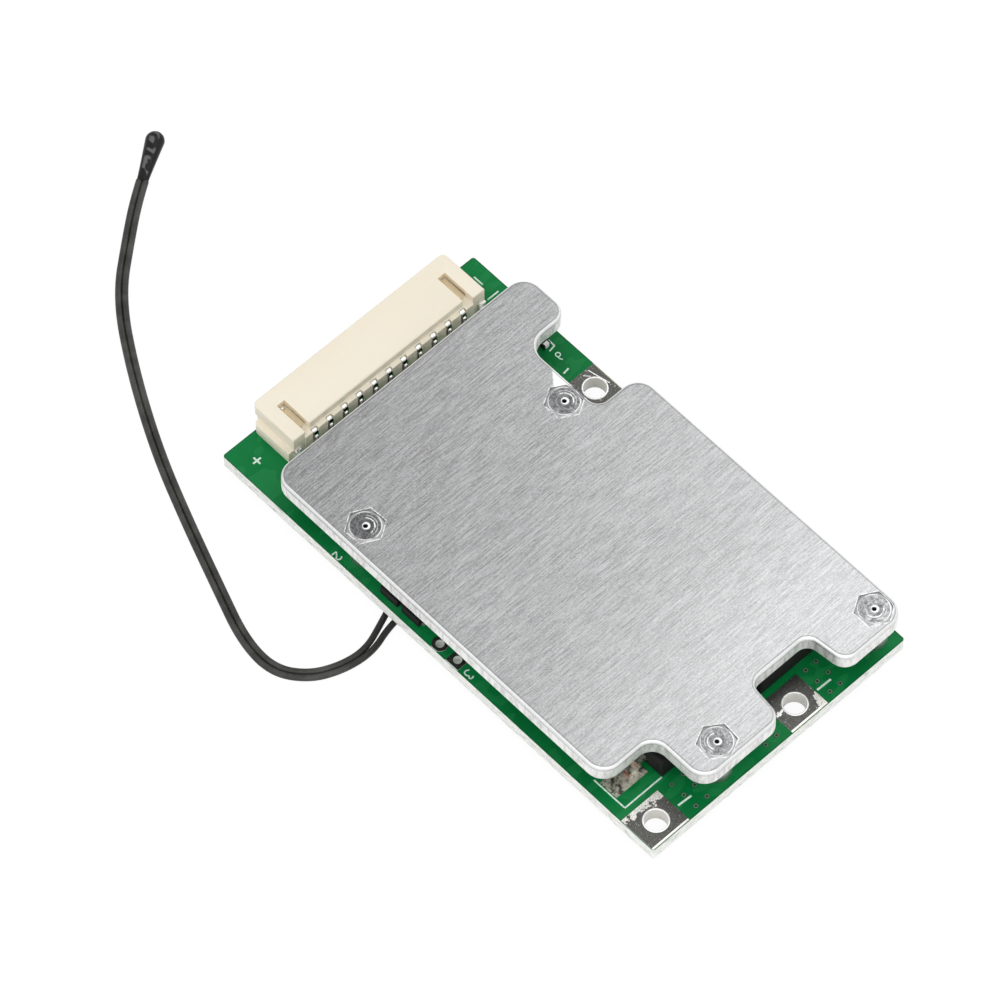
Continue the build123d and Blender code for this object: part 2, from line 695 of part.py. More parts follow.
def lead_wire(name, start, side):
    """One insulated wire of the lead, from its solder joint to the drop."""
    route = [Vector(*point) for point in start] + side_route(side)
    radii = bend_radii(route)
    path = FilletPolyline(*route, radius=radii)
    section = Plane(origin=path @ 0, z_dir=path % 0) * RegularPolygon(WIRE / 2, WIRE_SIDES)
    wire = sweep(section, path=path)
    print(name, "length", round(path.length, 2), "smallest radius", round(min(radii), 2))
    print(name, "volume", round(wire.volume, 3), "section times length", round(section.area * path.length, 3))
    return wire


def thermistor_bead():
    """The drop of epoxy: a narrow neck that swells to a round nose."""
    end = Vector(*LEAD_ROUTE[-1])
    along = (end - Vector(*LEAD_ROUTE[-2])).normalized()
    neck = BEAD_NECK / 2
    belly = BEAD_DIAMETER / 2
    flank = Line((neck, 0), (belly, BEAD_LENGTH - belly))
    nose = ThreePointArc(
        (belly, BEAD_LENGTH - belly),
        (belly * sin(radians(45)), BEAD_LENGTH - belly + belly * sin(radians(45))),
        (0, BEAD_LENGTH),
    )
    axis = Polyline((0, BEAD_LENGTH), (0, 0), (neck, 0))
    half = make_face([flank.edge(), nose.edge(), *axis.edges()])
    drop = revolve(half, Axis.Y)
    up = Vector(0, 0, 1)
    stand = Plane(origin=end, x_dir=up, z_dir=up.cross(along))
    return stand * drop


def lead_solder():
    """The two solder joints under the board where the wires end."""
    joints = []
    for start in (INNER_START, OUTER_START):
        x, y, z = start[0]
        x1 = x + SOLDER_LONG
        half = SOLDER_WIDE / 2
        z0 = board_bottom - SOLDER_HEIGHT
        joint = block(x, x1, y - half, y + half, z0, board_bottom)
        joints.append(fillet(joint.edges().group_by(Axis.Z)[0].sort_by(Axis.X)[-1], SOLDER_HEIGHT / 2))
    return Compound(children=joints)


def all_nodes():
    """Every named piece of the board, in the order in which it is put together."""
    nodes = {"circuit_board": circuit_board(), "heatsink_plate": heatsink_plate()}
    nodes["terminal_b"] = b_terminal_piece()
    nodes["terminal_p"] = p_terminal_piece()
    nodes["terminal_c"] = c_terminal_piece()
    nodes["spare_pads"] = spare_pads()
    for name in standoff_places:
        nodes[f"standoff_{name}"] = standoff(name)
        nodes[f"board_screw_{name}"] = board_screw(name)
    nodes["connector_housing"] = connector_housing()
    for i, x in enumerate(pin_places):
        nodes[f"contact_{i + 1:02d}"] = contact(x)
    nodes["hold_down_left"] = hold_down(-1)
    nodes["hold_down_right"] = hold_down(1)
    for row in range(ROWS):
        for column in range(COLUMNS):
            number = row * COLUMNS + column + 1
            nodes[f"transistor_{number}_body"] = transistor_body(column, row)
            nodes[f"transistor_{number}_leads"] = transistor_leads(column, row)
    nodes["transistor_lands"] = transistor_lands()
    nodes["thermal_pad"] = thermal_pad()
    nodes["protection_chip"] = protection_chip()
    nodes["protection_chip_leads"] = protection_chip_leads()
    first = -(BALANCE_COUNT - 1) / 2 * BALANCE_PITCH
    size = (BALANCE_LONG, BALANCE_WIDE, BALANCE_HIGH)
    bodies, ends = chip_row(BALANCE_COUNT, BALANCE_PITCH, first, balance_y, size)
    nodes["balance_resistors"] = bodies
    nodes["balance_resistor_ends"] = ends
    size = (SHUNT_LONG, SHUNT_WIDE, SHUNT_HIGH)
    bodies, ends = chip_row(SHUNT_COUNT, SHUNT_PITCH, left + SHUNT_FROM_LEFT, shunt_y, size)
    nodes["shunt_resistors"] = bodies
    nodes["shunt_resistor_ends"] = ends
    x = right - CAPACITOR_FROM_RIGHT
    size = (CAPACITOR_LONG, CAPACITOR_WIDE, CAPACITOR_HIGH)
    body, ends = chip_part(x, header_edge - CAPACITOR_FROM_HEADER_EDGE, size)
    nodes["chip_capacitor"] = body
    nodes["chip_capacitor_ends"] = Compound(children=ends)
    nodes["sense_diodes"], nodes["sense_diode_leads"] = sense_diodes()
    nodes["lead_wire_inner"] = lead_wire("lead_wire_inner", INNER_START, -1)
    nodes["lead_wire_outer"] = lead_wire("lead_wire_outer", OUTER_START, 1)
    nodes["thermistor_bead"] = thermistor_bead()
    nodes["lead_solder"] = lead_solder()
    return nodes


os.makedirs("parts", exist_ok=True)
for name, shape in all_nodes().items():
    export_step(shape, f"parts/{name}.step")
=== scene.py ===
# %% [markdown]
# # Dressing a battery management board
# A green circuit board carries a notched aluminium heat spreader, a cream eleven-way header and a
# black thermistor lead. The solid parts come ready made as a fixed frame, in metres. This lesson
# gives each of them its finish, and adds what a solid model leaves out: rolled edges, print, vias,
# solder and the smooth line of the lead.

# %% Load the frame
import json
import bmesh
import bpy
import numpy as np
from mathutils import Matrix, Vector
from mathutils.geometry import delaunay_2d_cdt


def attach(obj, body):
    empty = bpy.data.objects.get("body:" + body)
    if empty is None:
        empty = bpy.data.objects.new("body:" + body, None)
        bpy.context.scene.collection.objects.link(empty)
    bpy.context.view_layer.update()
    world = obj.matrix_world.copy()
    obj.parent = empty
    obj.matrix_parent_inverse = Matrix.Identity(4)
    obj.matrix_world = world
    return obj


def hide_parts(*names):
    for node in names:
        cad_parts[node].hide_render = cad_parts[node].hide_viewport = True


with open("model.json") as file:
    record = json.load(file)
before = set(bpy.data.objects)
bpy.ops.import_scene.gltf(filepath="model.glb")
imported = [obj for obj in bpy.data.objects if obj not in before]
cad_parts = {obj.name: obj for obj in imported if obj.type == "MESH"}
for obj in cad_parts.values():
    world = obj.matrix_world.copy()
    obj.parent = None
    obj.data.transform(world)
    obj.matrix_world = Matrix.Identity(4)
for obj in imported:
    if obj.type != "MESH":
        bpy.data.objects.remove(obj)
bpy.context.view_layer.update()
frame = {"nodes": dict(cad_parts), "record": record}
nodes = frame["nodes"]
MM = 0.001
print("solid parts:", len(nodes))

# %% [markdown]
# ## The camera
# A product photograph of a small board is taken from far away with a long lens, so that its sides
# stay almost parallel. The camera looks down at 59 degrees over the board's rear left corner. It
# comes first, because everything after it is judged through it.

# %% Camera
CAMERA_AT = Vector((-260.9, -266.93, 627.6)) * MM
LOOKS_AT = Vector((-0.66, 7.575, 2.9)) * MM


def linked(name, data):
    """A new object that shows the data, put into the scene."""
    made = bpy.data.objects.new(name, data)
    bpy.context.scene.collection.objects.link(made)
    return made


def aim(thing, at, towards):
    """Places a camera or a lamp, and turns it until its own -Z axis runs towards a point."""
    thing.location = at
    thing.rotation_euler = (towards - at).to_track_quat("-Z", "Y").to_euler()


lens = bpy.data.cameras.new("camera")
lens.sensor_width = 36.0
lens.lens = 267.83
lens.clip_end = 20.0
camera = linked("camera", lens)
aim(camera, CAMERA_AT, LOOKS_AT)
bpy.context.scene.camera = camera
print("camera distance", round((LOOKS_AT - CAMERA_AT).length, 3))

# %% [markdown]
# ## The thermistor lead
# Two thin insulated wires run side by side, as one flat twin lead, from solder joints under the
# board out over the table to a glossy drop. A wire could be swept as a mesh, but a curve object
# with a round bevel is easier to bend: its line is a smooth spline that the control points pull
# towards themselves. The second wire is the same line, shifted by one wire's width.

# %% Lead
WIRE = 0.65
WIRE_GAP = 0.02
WIRE_Z = WIRE / 2 + WIRE_GAP
WIRE_TOUCH = 0.004
DROP_Z = 1.05
UNDER_Z = 0.85
LEAD_ROUTE = np.array([
    (-23.8, 5.4, WIRE_Z), (-26.9, 6.9, WIRE_Z), (-29.0, 9.9, WIRE_Z), (-28.7, 14.4, WIRE_Z),
    (-26.6, 20.1, WIRE_Z), (-23.7, 27.9, WIRE_Z), (-20.4, 36.0, WIRE_Z), (-15.9, 44.6, WIRE_Z),
    (-11.0, 52.2, WIRE_Z), (-5.6, 56.7, WIRE_Z + 0.2), (-2.4, 59.15, DROP_Z), (-0.2, 60.6, DROP_Z),
])
INNER_START = [
    (-12.4, 7.6, UNDER_Z), (-14.6, 7.6, UNDER_Z), (-17.65, 6.5, WIRE_Z), (-20.7, 5.35, WIRE_Z),
]
OUTER_START = [
    (-12.4, 5.6, UNDER_Z), (-14.6, 5.6, UNDER_Z), (-17.4, 5.65, WIRE_Z), (-20.5, 4.65, WIRE_Z),
]


def beside(route, offset):
    """The route moved sideways on the table by offset. At each point the shift goes along the sum
    of the two runs' side directions, and is longer by one over the cosine of half the turn."""
    runs = np.diff(route[:, :2], axis=0)
    runs /= np.linalg.norm(runs, axis=1)[:, None]
    into = np.vstack([runs[:1], runs])
    out = np.vstack([runs, runs[-1:]])
    side = np.column_stack([-(into + out)[:, 1], (into + out)[:, 0]])
    side /= np.linalg.norm(side, axis=1)[:, None]
    half_turn = (side * np.column_stack([-into[:, 1], into[:, 0]])).sum(1)
    moved = route.copy()
    moved[:, :2] += side * (offset / half_turn)[:, None]
    return moved


def wire(name, points, radius):
    """A smooth spline whose control points are the given points, with a round section. The bevel
    is one metre deep and each point scales it down to the wire's radius, because the box that is
    measured round a curve grows by its points' radius."""
    curve = bpy.data.curves.new(name, "CURVE")
    curve.dimensions = "3D"
    curve.bevel_depth = 1.0
    curve.bevel_resolution = 5
    curve.use_fill_caps = True
    curve.resolution_u = 12
    spline = curve.splines.new("NURBS")
    spline.points.add(len(points) - 1)
    spline.points.foreach_set("co", np.column_stack([points * MM, np.ones(len(points))]).ravel())
    spline.points.foreach_set("radius", np.full(len(points), radius * MM))
    spline.order_u = 3
    spline.use_endpoint_u = True
    return linked(name, curve)


half_step = (WIRE + WIRE_GAP) / 2
sleeve = half_step + WIRE_TOUCH
inner_route = np.vstack([INNER_START, beside(LEAD_ROUTE, -half_step)])
outer_route = np.vstack([OUTER_START, beside(LEAD_ROUTE, half_step)])
inner_wire = wire("wire_inner", inner_route, sleeve)
outer_wire = wire("wire_outer", outer_route, sleeve)
for piece, node in ((inner_wire, "lead_wire_inner"), (outer_wire, "lead_wire_outer")):
    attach(piece, "root")
    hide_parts(node)
print("wires made:", inner_wire.name, outer_wire.name)

# %% [markdown]
# ## Meshes from arrays
# Most new pieces are surfaces worked out with numpy. The helpers below take vertices in
# millimetres and a list of face arrays, and make an object whose origin stays at the frame's
# origin, so that patterns on object coordinates line up between neighbours. Where the true surface
# direction is known, it is handed over too, because averaged ones smear near long triangles. A
# round thing is a profile turned about an axis, and a small one that comes again and again is the
# same grid of points at many places.

# %% Mesh helpers


def piece_from(name, points, faces, replaces=(), normals=None):
    """An object from points in millimetres and faces as lists of point numbers."""
    mesh = bpy.data.meshes.new(name)
    corners = [list(map(int, face)) for face in faces]
    mesh.from_pydata((np.asarray(points, float) * MM).tolist(), [], corners)
    mesh.polygons.foreach_set("use_smooth", [True] * len(mesh.polygons))
    mesh.update()
    if normals is not None:
        mesh.normals_split_custom_set_from_vertices(np.asarray(normals, float).tolist())
    piece = linked(name, mesh)
    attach(piece, "root")
    if replaces:
        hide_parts(*replaces)
    return piece


def grid_faces(rows, columns, closed=True, start=0):
    """Four-sided faces over a grid of points that is stored row by row. In a closed grid the last
    column joins the first."""
    across = columns if closed else columns - 1
    r, c = np.meshgrid(np.arange(rows - 1), np.arange(across), indexing="ij")
    here, right = r * columns + c, r * columns + (c + 1) % columns
    faces = [here, right, right + columns, here + columns]
    return np.column_stack([corner.ravel() for corner in faces]) + start


def turned(radii, heights, around):
    """A profile carried round an upright axis at the origin: one row of points for each radius and
    height, x being radius times cosine and y radius times sine."""
    angle = np.linspace(0, 2 * np.pi, around, endpoint=False)
    radii, heights = (np.asarray(row, float)[:, None] + 0 * angle for row in (radii, heights))
    return np.stack([radii * np.cos(angle), radii * np.sin(angle), heights], -1)


def copies(grid, places):
    """The points of one closed grid at each of several places, and the faces of all of them."""
    rows, around = grid.shape[:2]
    points = np.asarray(places, float)[:, None, None] + grid
    faces = [grid_faces(rows, around, start=i * rows * around) for i in range(len(places))]
    return points.reshape(-1, 3), np.vstack(faces)


def tidied(piece, sharp=None, same=1e-6):
    """Merges points that lie together, turns all faces outward, and marks edges sharper than an
    angle in radians."""
    work = bmesh.new()
    work.from_mesh(piece.data)
    bmesh.ops.remove_doubles(work, verts=work.verts, dist=same)
    bmesh.ops.recalc_face_normals(work, faces=work.faces)
    work.to_mesh(piece.data)
    work.free()
    if sharp is not None:
        piece.data.set_sharp_from_angle(angle=sharp)
    return piece


print("a closed grid of 3 by 4 points has", len(grid_faces(3, 4)), "faces")

# %% [markdown]
# ## The drop at the lead's end
# The sensor is dipped in epoxy, so its surface is a drop that swells from the two wires to a round
# nose. It is a profile turned about the lead's end: the radius follows a smooth swell, and a few
# low swellings on it keep it from looking machined.

# %% Drop
DROP_LONG = 6.05
DROP_NECK = 0.55
DROP_BELLY = 1.03
DROP_POWER = 1.3
DROP_TRIM = 0.98
LOBE_HIGH = 0.2
LOBE_LOW = 0.08
CROSSING_LONG = 0.42
CROSSING_TURN = 0.4
CROSSINGS = ((1.7, 1.2, 0.05), (2.6, 1.9, 0.06), (3.6, 1.25, 0.06), (4.6, 1.7, 0.05))
INNER_LONG = 0.0778
OUTER_LONG = 0.0793


def drop(rings=60, around=40):
    """Along the drop the radius is neck plus (belly minus neck) times the distance to the power
    1.3, and over the last stretch it closes as a quarter circle. Near the neck the section is an
    oval with two lobes, one over each wire. Inside, the wires cross and push the coat out a little:
    a sum of round swellings, each the exponential of minus a squared distance. A crossing is a
    distance along the drop, an angle round it and a height."""
    end = LEAD_ROUTE[-1]
    along = LEAD_ROUTE[-1] - LEAD_ROUTE[-2]
    along /= np.linalg.norm(along)
    across = np.array([-along[1], along[0], 0.0])
    t = (1 - np.cos(np.linspace(0, np.pi, rings))) / 2
    distance = t * DROP_LONG
    swell = np.clip(distance / (DROP_LONG - DROP_BELLY), 0, 1) ** DROP_POWER
    radius = DROP_NECK + (DROP_BELLY - DROP_NECK) * swell
    nose = np.clip((distance - (DROP_LONG - DROP_BELLY)) / DROP_BELLY, 0, 1)
    radius = radius * np.sqrt(np.clip(1 - nose**2, 0, 1))
    angle = np.linspace(0, 2 * np.pi, around, endpoint=False)
    a, d = np.meshgrid(angle, distance)
    lobes = 1 + (LOBE_HIGH * np.cos(a) ** 2 - LOBE_LOW) * (1 - swell)[:, None]
    knots = np.zeros_like(a)
    for at, turn, size in CROSSINGS:
        far = ((d - at) / CROSSING_LONG) ** 2 + ((a - turn) / CROSSING_TURN) ** 2
        knots += size * np.exp(-far)
    lobes = lobes * (1 + knots) * DROP_TRIM
    side = radius[:, None] * lobes * np.cos(a)
    up = radius[:, None] * lobes * np.sin(a)
    points = end + d[..., None] * along + side[..., None] * across
    points[..., 2] += up
    faces = list(grid_faces(rings, around)) + [list(range(around))[::-1]]
    return points.reshape(-1, 3), faces


points, faces = drop()
bead = tidied(piece_from("bead", points, faces, ["thermistor_bead"]))
ends = ((inner_wire, INNER_START, INNER_LONG), (outer_wire, OUTER_START, OUTER_LONG))
for piece, start, length in ends:
    [x * MM for x in start[0]]
print("drop:", len(points), "points")

# %% [markdown]
# ## The heat spreader's shape
# The plate is punched from 2 mm sheet, and punching rolls its upper edge over. The frame's plate
# has a plain bevel there, so this one stands for it: the same outline, with a soft roll that is
# wider than it is deep. A bevel modifier could round the edge evenly, but a profile carried round
# the outline gives the uneven roll and keeps the flat top truly flat. Each corner of the outline is
# given by its place and its radius.

# %% Plate outline
PLATE_BOTTOM = 6.3
PLATE_TOP = 8.3
PLATE_CORNERS = np.array([
    (-17.0, 22.675, 2.1), (17.0, 22.675, 2.1), (17.0, 16.375, 1.7), (11.4, 16.375, 2.1),
    (11.4, 6.375, 1.3), (17.0, 6.375, 2.1), (17.0, -30.925, 2.1), (8.65, -30.925, 1.7),
    (8.15, -26.125, 1.3), (0.55, -26.125, 1.3), (0.05, -30.925, 1.7), (-10.4, -30.925, 2.1),
    (-10.4, -23.925, 1.7), (-17.0, -23.925, 2.1),
])
STANDOFFS = {
    "header_right": (9.5, 9.125, 30), "header_left": (-14.4, 12.075, 33),
    "rear_right": (14.85, -28.525, 31), "rear_left": (-6.4, -28.575, 25),
}
ACROSS_FLATS = 3.5


def rounded_outline(corners, steps=12):
    """Each corner becomes an arc: its centre lies on the bisector at radius over the sine of half
    the angle. Returns the points and the directions that point out of the outline."""
    here, radius = corners[:, :2], corners[:, 2]
    back = np.roll(here, 1, axis=0) - here
    ahead = np.roll(here, -1, axis=0) - here
    back /= np.linalg.norm(back, axis=1)[:, None]
    ahead /= np.linalg.norm(ahead, axis=1)[:, None]
    half = np.arccos(np.clip((back * ahead).sum(1), -1, 1)) / 2
    middle = back + ahead
    middle /= np.linalg.norm(middle, axis=1)[:, None]
    centre = here + middle * (radius / np.sin(half))[:, None]
    start = here + back * (radius / np.tan(half))[:, None] - centre
    end = here + ahead * (radius / np.tan(half))[:, None] - centre
    a0 = np.arctan2(start[:, 1], start[:, 0])
    turn = np.arctan2(end[:, 1], end[:, 0]) - a0
    turn = (turn + np.pi) % (2 * np.pi) - np.pi
    angle = a0[:, None] + turn[:, None] * np.linspace(0, 1, steps)
    spoke = np.stack([np.cos(angle), np.sin(angle)], -1)
    points = centre[:, None] + spoke * radius[:, None, None]
    outward = spoke * -np.sign(turn)[:, None, None]
    return points.reshape(-1, 2), outward.reshape(-1, 2)


def ring_of(centre, radius, count, turn=0.0):
    """Points evenly round a circle, from an angle in degrees, anticlockwise."""
    angle = np.radians(turn) + np.linspace(0, 2 * np.pi, count, endpoint=False)
    return np.array(centre) + radius * np.column_stack([np.cos(angle), np.sin(angle)])


def lifted(flat, z):
    """Flat points at a height."""
    return np.column_stack([flat, np.full(len(flat), z)])


print("plate corners:", len(PLATE_CORNERS))

# %% [markdown]
# ## Flat faces with holes
# The plate's top and underside are flat, and four standoffs stand in them. One many-sided face can
# have no hole in it, and a boolean modifier leaves long thin faces that smear the shine. Here the
# outline and the holes are handed to a triangulation that keeps every edge it is given, and each
# ring of points brings its own surface direction along.

# %% Plate mesh
SEAT_DEEP = 1.0
SEAT_Z = PLATE_TOP - SEAT_DEEP
ROLL_WIDE = 0.46
ROLL_DEEP = 0.42
UNDER_EDGE = 0.12
BARREL_BORE = 1.65
SEAT_GAP = 0.025
SAME_POINT = 1e-7


def inside(flat, loop):
    """Which points lie inside a loop: those from which a level ray crosses it an odd number of
    times."""
    x0, y0 = loop[:, 0], loop[:, 1]
    x1, y1 = np.roll(x0, -1), np.roll(y0, -1)
    px, py = flat[:, 0:1], flat[:, 1:2]
    spans = (y0 > py) != (y1 > py)
    rise = np.where(y1 == y0, 1, y1 - y0)
    return (spans & (px < (x1 - x0) * (py - y0) / rise + x0)).sum(1) % 2 == 1


def filled(loops):
    """Points and triangles between an outer loop and the holes in it. All of the loops' edges are
    kept, and a triangle stays if its middle is in the outer loop alone."""
    edges, first = [], 0
    for loop in loops:
        ring = np.arange(len(loop)) + first
        edges.extend(np.column_stack([ring, np.roll(ring, -1)]).tolist())
        first += len(loop)
    made = delaunay_2d_cdt([Vector(p) for p in np.vstack(loops)], edges, [], 0, SAME_POINT)
    flat = np.array([list(p) for p in made[0]])
    triangles = np.array([list(f) for f in made[2]])
    middle = flat[triangles].mean(1)
    keep = inside(middle, loops[0])
    for loop in loops[1:]:
        keep &= ~inside(middle, loop)
    triangles = triangles[keep]
    a, b, c = flat[triangles[:, 0]], flat[triangles[:, 1]], flat[triangles[:, 2]]
    turn = (b - a)[:, 0] * (c - a)[:, 1] - (b - a)[:, 1] * (c - a)[:, 0]
    return flat, np.where(turn[:, None] > 0, triangles, triangles[:, ::-1])


class Shell:
    """Collects rings of points with the direction that each point faces, and the faces between."""

    def __init__(self):
        self.points, self.directions, self.faces, self.total = [], [], [], 0

    def ring(self, flat, z, direction):
        """Adds a ring at a height and returns its point numbers."""
        self.points.append(lifted(flat, z))
        self.directions.append(np.broadcast_to(direction, (len(flat), 3)))
        self.total += len(flat)
        return np.arange(self.total - len(flat), self.total)

    def band(self, upper, lower):
        """Faces from one ring down to the next, which look towards the middle of the rings."""
        corners = [upper, lower, np.roll(lower, 1), np.roll(upper, 1)]
        self.faces.extend(np.column_stack(corners).tolist())

    def cap(self, loops, z, up):
        """A level face with holes, which looks up or down."""
        flat, triangles = filled(loops)
        numbers = self.ring(flat, z, (0, 0, 1 if up else -1))
        self.faces.extend(numbers[triangles if up else triangles[:, ::-1]].tolist())

    def joined(self):
        """Points, faces and directions, with one point wherever place and direction agree."""
        both = np.hstack([np.vstack(self.points), np.vstack(self.directions)])
        kept, number = np.unique(np.round(both, 5), axis=0, return_inverse=True)
        number = number.ravel()
        return kept[:, :3], [number[face].tolist() for face in self.faces], kept[:, 3:]


def plate():
    """The side profile goes up from the under edge, along the side, and over an elliptical roll:
    inset is wide times (1 minus cosine), height is top minus deep times (1 minus sine). Each
    standoff has a hexagonal seat in the top and a round bore below it."""
    shell = Shell()
    outline, outward = rounded_outline(PLATE_CORNERS)
    low, high = np.linspace(0, np.pi / 2, 4), np.linspace(0, np.pi / 2, 10)
    under = [UNDER_EDGE * (1 - np.sin(low)), PLATE_BOTTOM + UNDER_EDGE * (1 - np.cos(low)),
             np.sin(low), -np.cos(low)]
    roll = [ROLL_WIDE * (1 - np.cos(high)), PLATE_TOP - ROLL_DEEP * (1 - np.sin(high)),
            np.cos(high), np.sin(high)]
    rings = []
    for inset, z, out, up in np.hstack([under, roll]).T:
        rings.append(shell.ring(outline - outward * inset, z, lifted(outward * out, up)))
    for lower, upper in zip(rings, rings[1:]):
        shell.band(upper, lower)
    top_loops = [outline - outward * ROLL_WIDE]
    low_loops = [outline - outward * UNDER_EDGE]
    corner = ACROSS_FLATS / 2 / np.cos(np.pi / 6) + SEAT_GAP
    for x, y, turn in STANDOFFS.values():
        hexagon = ring_of((x, y), corner, 6, turn)
        bore = ring_of((x, y), BARREL_BORE, 24)
        for loop, upper_z, lower_z in ((hexagon, PLATE_TOP, SEAT_Z), (bore, SEAT_Z, PLATE_BOTTOM)):
            inwards = np.column_stack([np.array([x, y]) - loop, np.zeros(len(loop))])
            inwards /= np.linalg.norm(inwards, axis=1)[:, None]
            shell.band(shell.ring(loop, upper_z, inwards), shell.ring(loop, lower_z, inwards))
        shell.cap([hexagon, bore], SEAT_Z, True)
        top_loops.append(hexagon)
        low_loops.append(bore)
    shell.cap(top_loops, PLATE_TOP, True)
    shell.cap(low_loops, PLATE_BOTTOM, False)
    return shell.joined()


points, faces, directions = plate()
spreader = piece_from("spreader", points, faces, ["heatsink_plate"],
                      directions)
print("plate:", len(points), "points,", len(faces), "faces")

# %% [markdown]
# ## Standoff heads
# Each hexagon is cut from bar on a lathe: its corners are coned off, a shallow groove runs round a
# raised ring, and a small hole marks the middle. It is one profile carried round the axis, whose
# outer part follows the hexagon instead of a circle.

# %% Standoffs
HEAD_Z = 8.285
HEAD_FACE = [
    (0, 7.7), (0.2, 7.7), (0.22, 8.2), (0.27, 8.29), (0.42, 8.29), (0.46, 8.265), (0.8, 8.265),
    (0.85, HEAD_Z), (0.93, HEAD_Z), (0.98, 8.265), (1.5, 8.275),
]
HEAD_RIM = [(0.93, 0.0), (0.97, 0.0), (0.99, 0.01), (1.0, 0.03)]
BARREL = [(1.6, SEAT_Z), (1.6, 2.9), (1.02, 2.9), (1.02, 6.9), (0, 6.9)]
CONE_FROM = 1.68
CONE_FALL = 0.5
SHARP = 0.5


def standoff(x, y, turn, around=96):
    """Rows from the middle of the top outwards, down the side, in under the head, down the barrel
    and up the bore. At an angle from a corner, the hexagon's reach is half the size across flats
    over the cosine of the angle from the nearest flat. The rim is given as shares of that reach,
    each with a drop. Past the cone's radius the top falls by half of each unit outward."""
    angle = np.linspace(0, 2 * np.pi, around, endpoint=False)
    reach = ACROSS_FLATS / 2 / np.cos(angle % (np.pi / 3) - np.pi / 6)
    rows = [(np.full(around, r), np.full(around, z)) for r, z in HEAD_FACE]
    for share, lower in HEAD_RIM:
        cone = CONE_FALL * np.clip(reach * share - CONE_FROM, 0, None)
        rows.append((reach * share, HEAD_Z - lower - cone))
    rows.append((reach, np.full(around, SEAT_Z)))
    rows.extend((np.full(around, r), np.full(around, z)) for r, z in BARREL)
    at = angle + np.radians(turn)
    points = [np.column_stack([x + r * np.cos(at), y + r * np.sin(at), z]) for r, z in rows]
    return np.vstack(points), grid_faces(len(rows), around)[:, ::-1]


heads = {}
for name, (x, y, turn) in STANDOFFS.items():
    points, faces = standoff(x, y, turn)
    head = piece_from("head_" + name, points, faces, ["standoff_" + name])
    heads[name] = tidied(head, SHARP)
print("standoffs:", len(heads))

# %% [markdown]
# ## Pin bends and window floors
# Behind the header every pin shows two glints: one on its bend, and one on the small swelling that
# the bending tool leaves below it. The swellings wear near-white tin, a painted highlight. The two
# windows in the top are closed, about a millimetre down, by the shroud's inner wall with a fine rib
# along it, and one more swelling is set in the left one only to show a glint there, a painted
# highlight. A swelling is a half wave turned about an axis, a floor is one profile drawn along the
# window.

# %% Pin glints and window floors
HEADER_X = 0.76
PITCH = 2.0
PINS = HEADER_X + PITCH * (np.arange(11) - 5)
PIN_REAR = 24.7
WINDOW_WIDE = 1.14
WINDOW_REAR = 26.1
WINDOW_FRONT = 29.1
FLOOR_Z = 5.3


def swelling(size, rings=9, around=16):
    """A small flattened drop: a half wave from pole to pole, squared off a little by the power
    0.8, with a size along each axis."""
    t = np.linspace(0, np.pi, rings)
    return turned(np.sin(t) ** 0.8, np.cos(t), around) * np.array(size)


PIN_SHIFT = 0.06
SWELLING_Z = 4.36
SWELLING_SIZE = (0.22, 0.2, 0.18)
# WINDOW_GLINT sets one more swelling in the left window only to show a glint there: a painted
# highlight.
WINDOW_GLINT = (-10.08, 28.8, 5.55)
places = [(x - PIN_SHIFT, PIN_REAR, SWELLING_Z) for x in PINS] + [WINDOW_GLINT]
points, faces = copies(swelling(SWELLING_SIZE), places)
glints = tidied(piece_from("pin_swellings", points, faces))


def window_floor(x0, x1, y0, y1, z):
    """A strip with a rib: points across give its profile, which runs along y and is closed
    below."""
    across = np.array([0, 0.0, 0.38, 0.44, 0.52, 0.58, 1.0, 1.0]) * (x1 - x0) + x0
    height = z + np.array([-0.3, -0.06, 0.0, 0.12, 0.12, 0.0, -0.06, -0.3])
    along = np.linspace(y0, y1, 8)[:, None]
    grid = np.stack([across + 0 * along, along + 0 * across, height + 0 * along], -1)
    ends = [list(range(8)), list(range(56, 64))[::-1]]
    return grid.reshape(-1, 3), list(grid_faces(8, 8)) + ends


floors = []
for side, x0 in (("left", -10.66), ("right", 11.04)):
    points, faces = window_floor(x0, x0 + WINDOW_WIDE, WINDOW_REAR, WINDOW_FRONT, FLOOR_Z)
    floors.append(tidied(piece_from("window_floor_" + side, points, faces), SHARP))
print("swellings:", len(places), "window floors:", len(floors))

# %% [markdown]
# ## Solder in the wire holes
# Dipping leaves a coat of solder in every wire hole. It narrows the hole, rounds over at the top
# and stands a little proud of the pad as a bright ring. Painting the hole's wall would leave it as
# wide as before, so the coat is a piece of its own: a closed profile turned about the hole.

# %% Solder linings
LINING_POINTS = 96
HOLES = {"b": (15.05, 10.475), "p": (4.15, -28.725), "c": (-14.5, -28.725)}
LINING = [
    (1.352, 2.9), (1.352, 2.985), (1.33, 3.0), (1.29, 3.02), (1.24, 3.025), (1.2, 3.01),
    (1.17, 2.97), (1.155, 2.9), (1.15, 2.1), (1.155, 1.3), (1.2, 1.2), (1.29, 1.19), (1.352, 1.22),
    (1.352, 2.9),
]
linings = []
for name, (x, y) in HOLES.items():
    points, faces = copies(turned(*np.transpose(LINING), LINING_POINTS), [(x, y, 0)])
    linings.append(tidied(piece_from("hole_lining_" + name, points, faces)))
print("linings:", len(linings))

# %% [markdown]
# ## Softened copies of moulded parts
# A moulded part has no edge as sharp as a solid model's. The thin bright line along each edge is
# what makes it look real. The frame's mesh is loose triangles, so a copy of it is merged, its flat
# faces are joined again, and a narrow bevel rounds what is left.

# %% Softened copies
SAME_VERTEX = 2e-6
FLAT_ANGLE = 0.01
EDGE_ANGLE = 0.6
slot_of = {row["node"]: row["material_slot"] for row in frame["record"]["subparts"]}


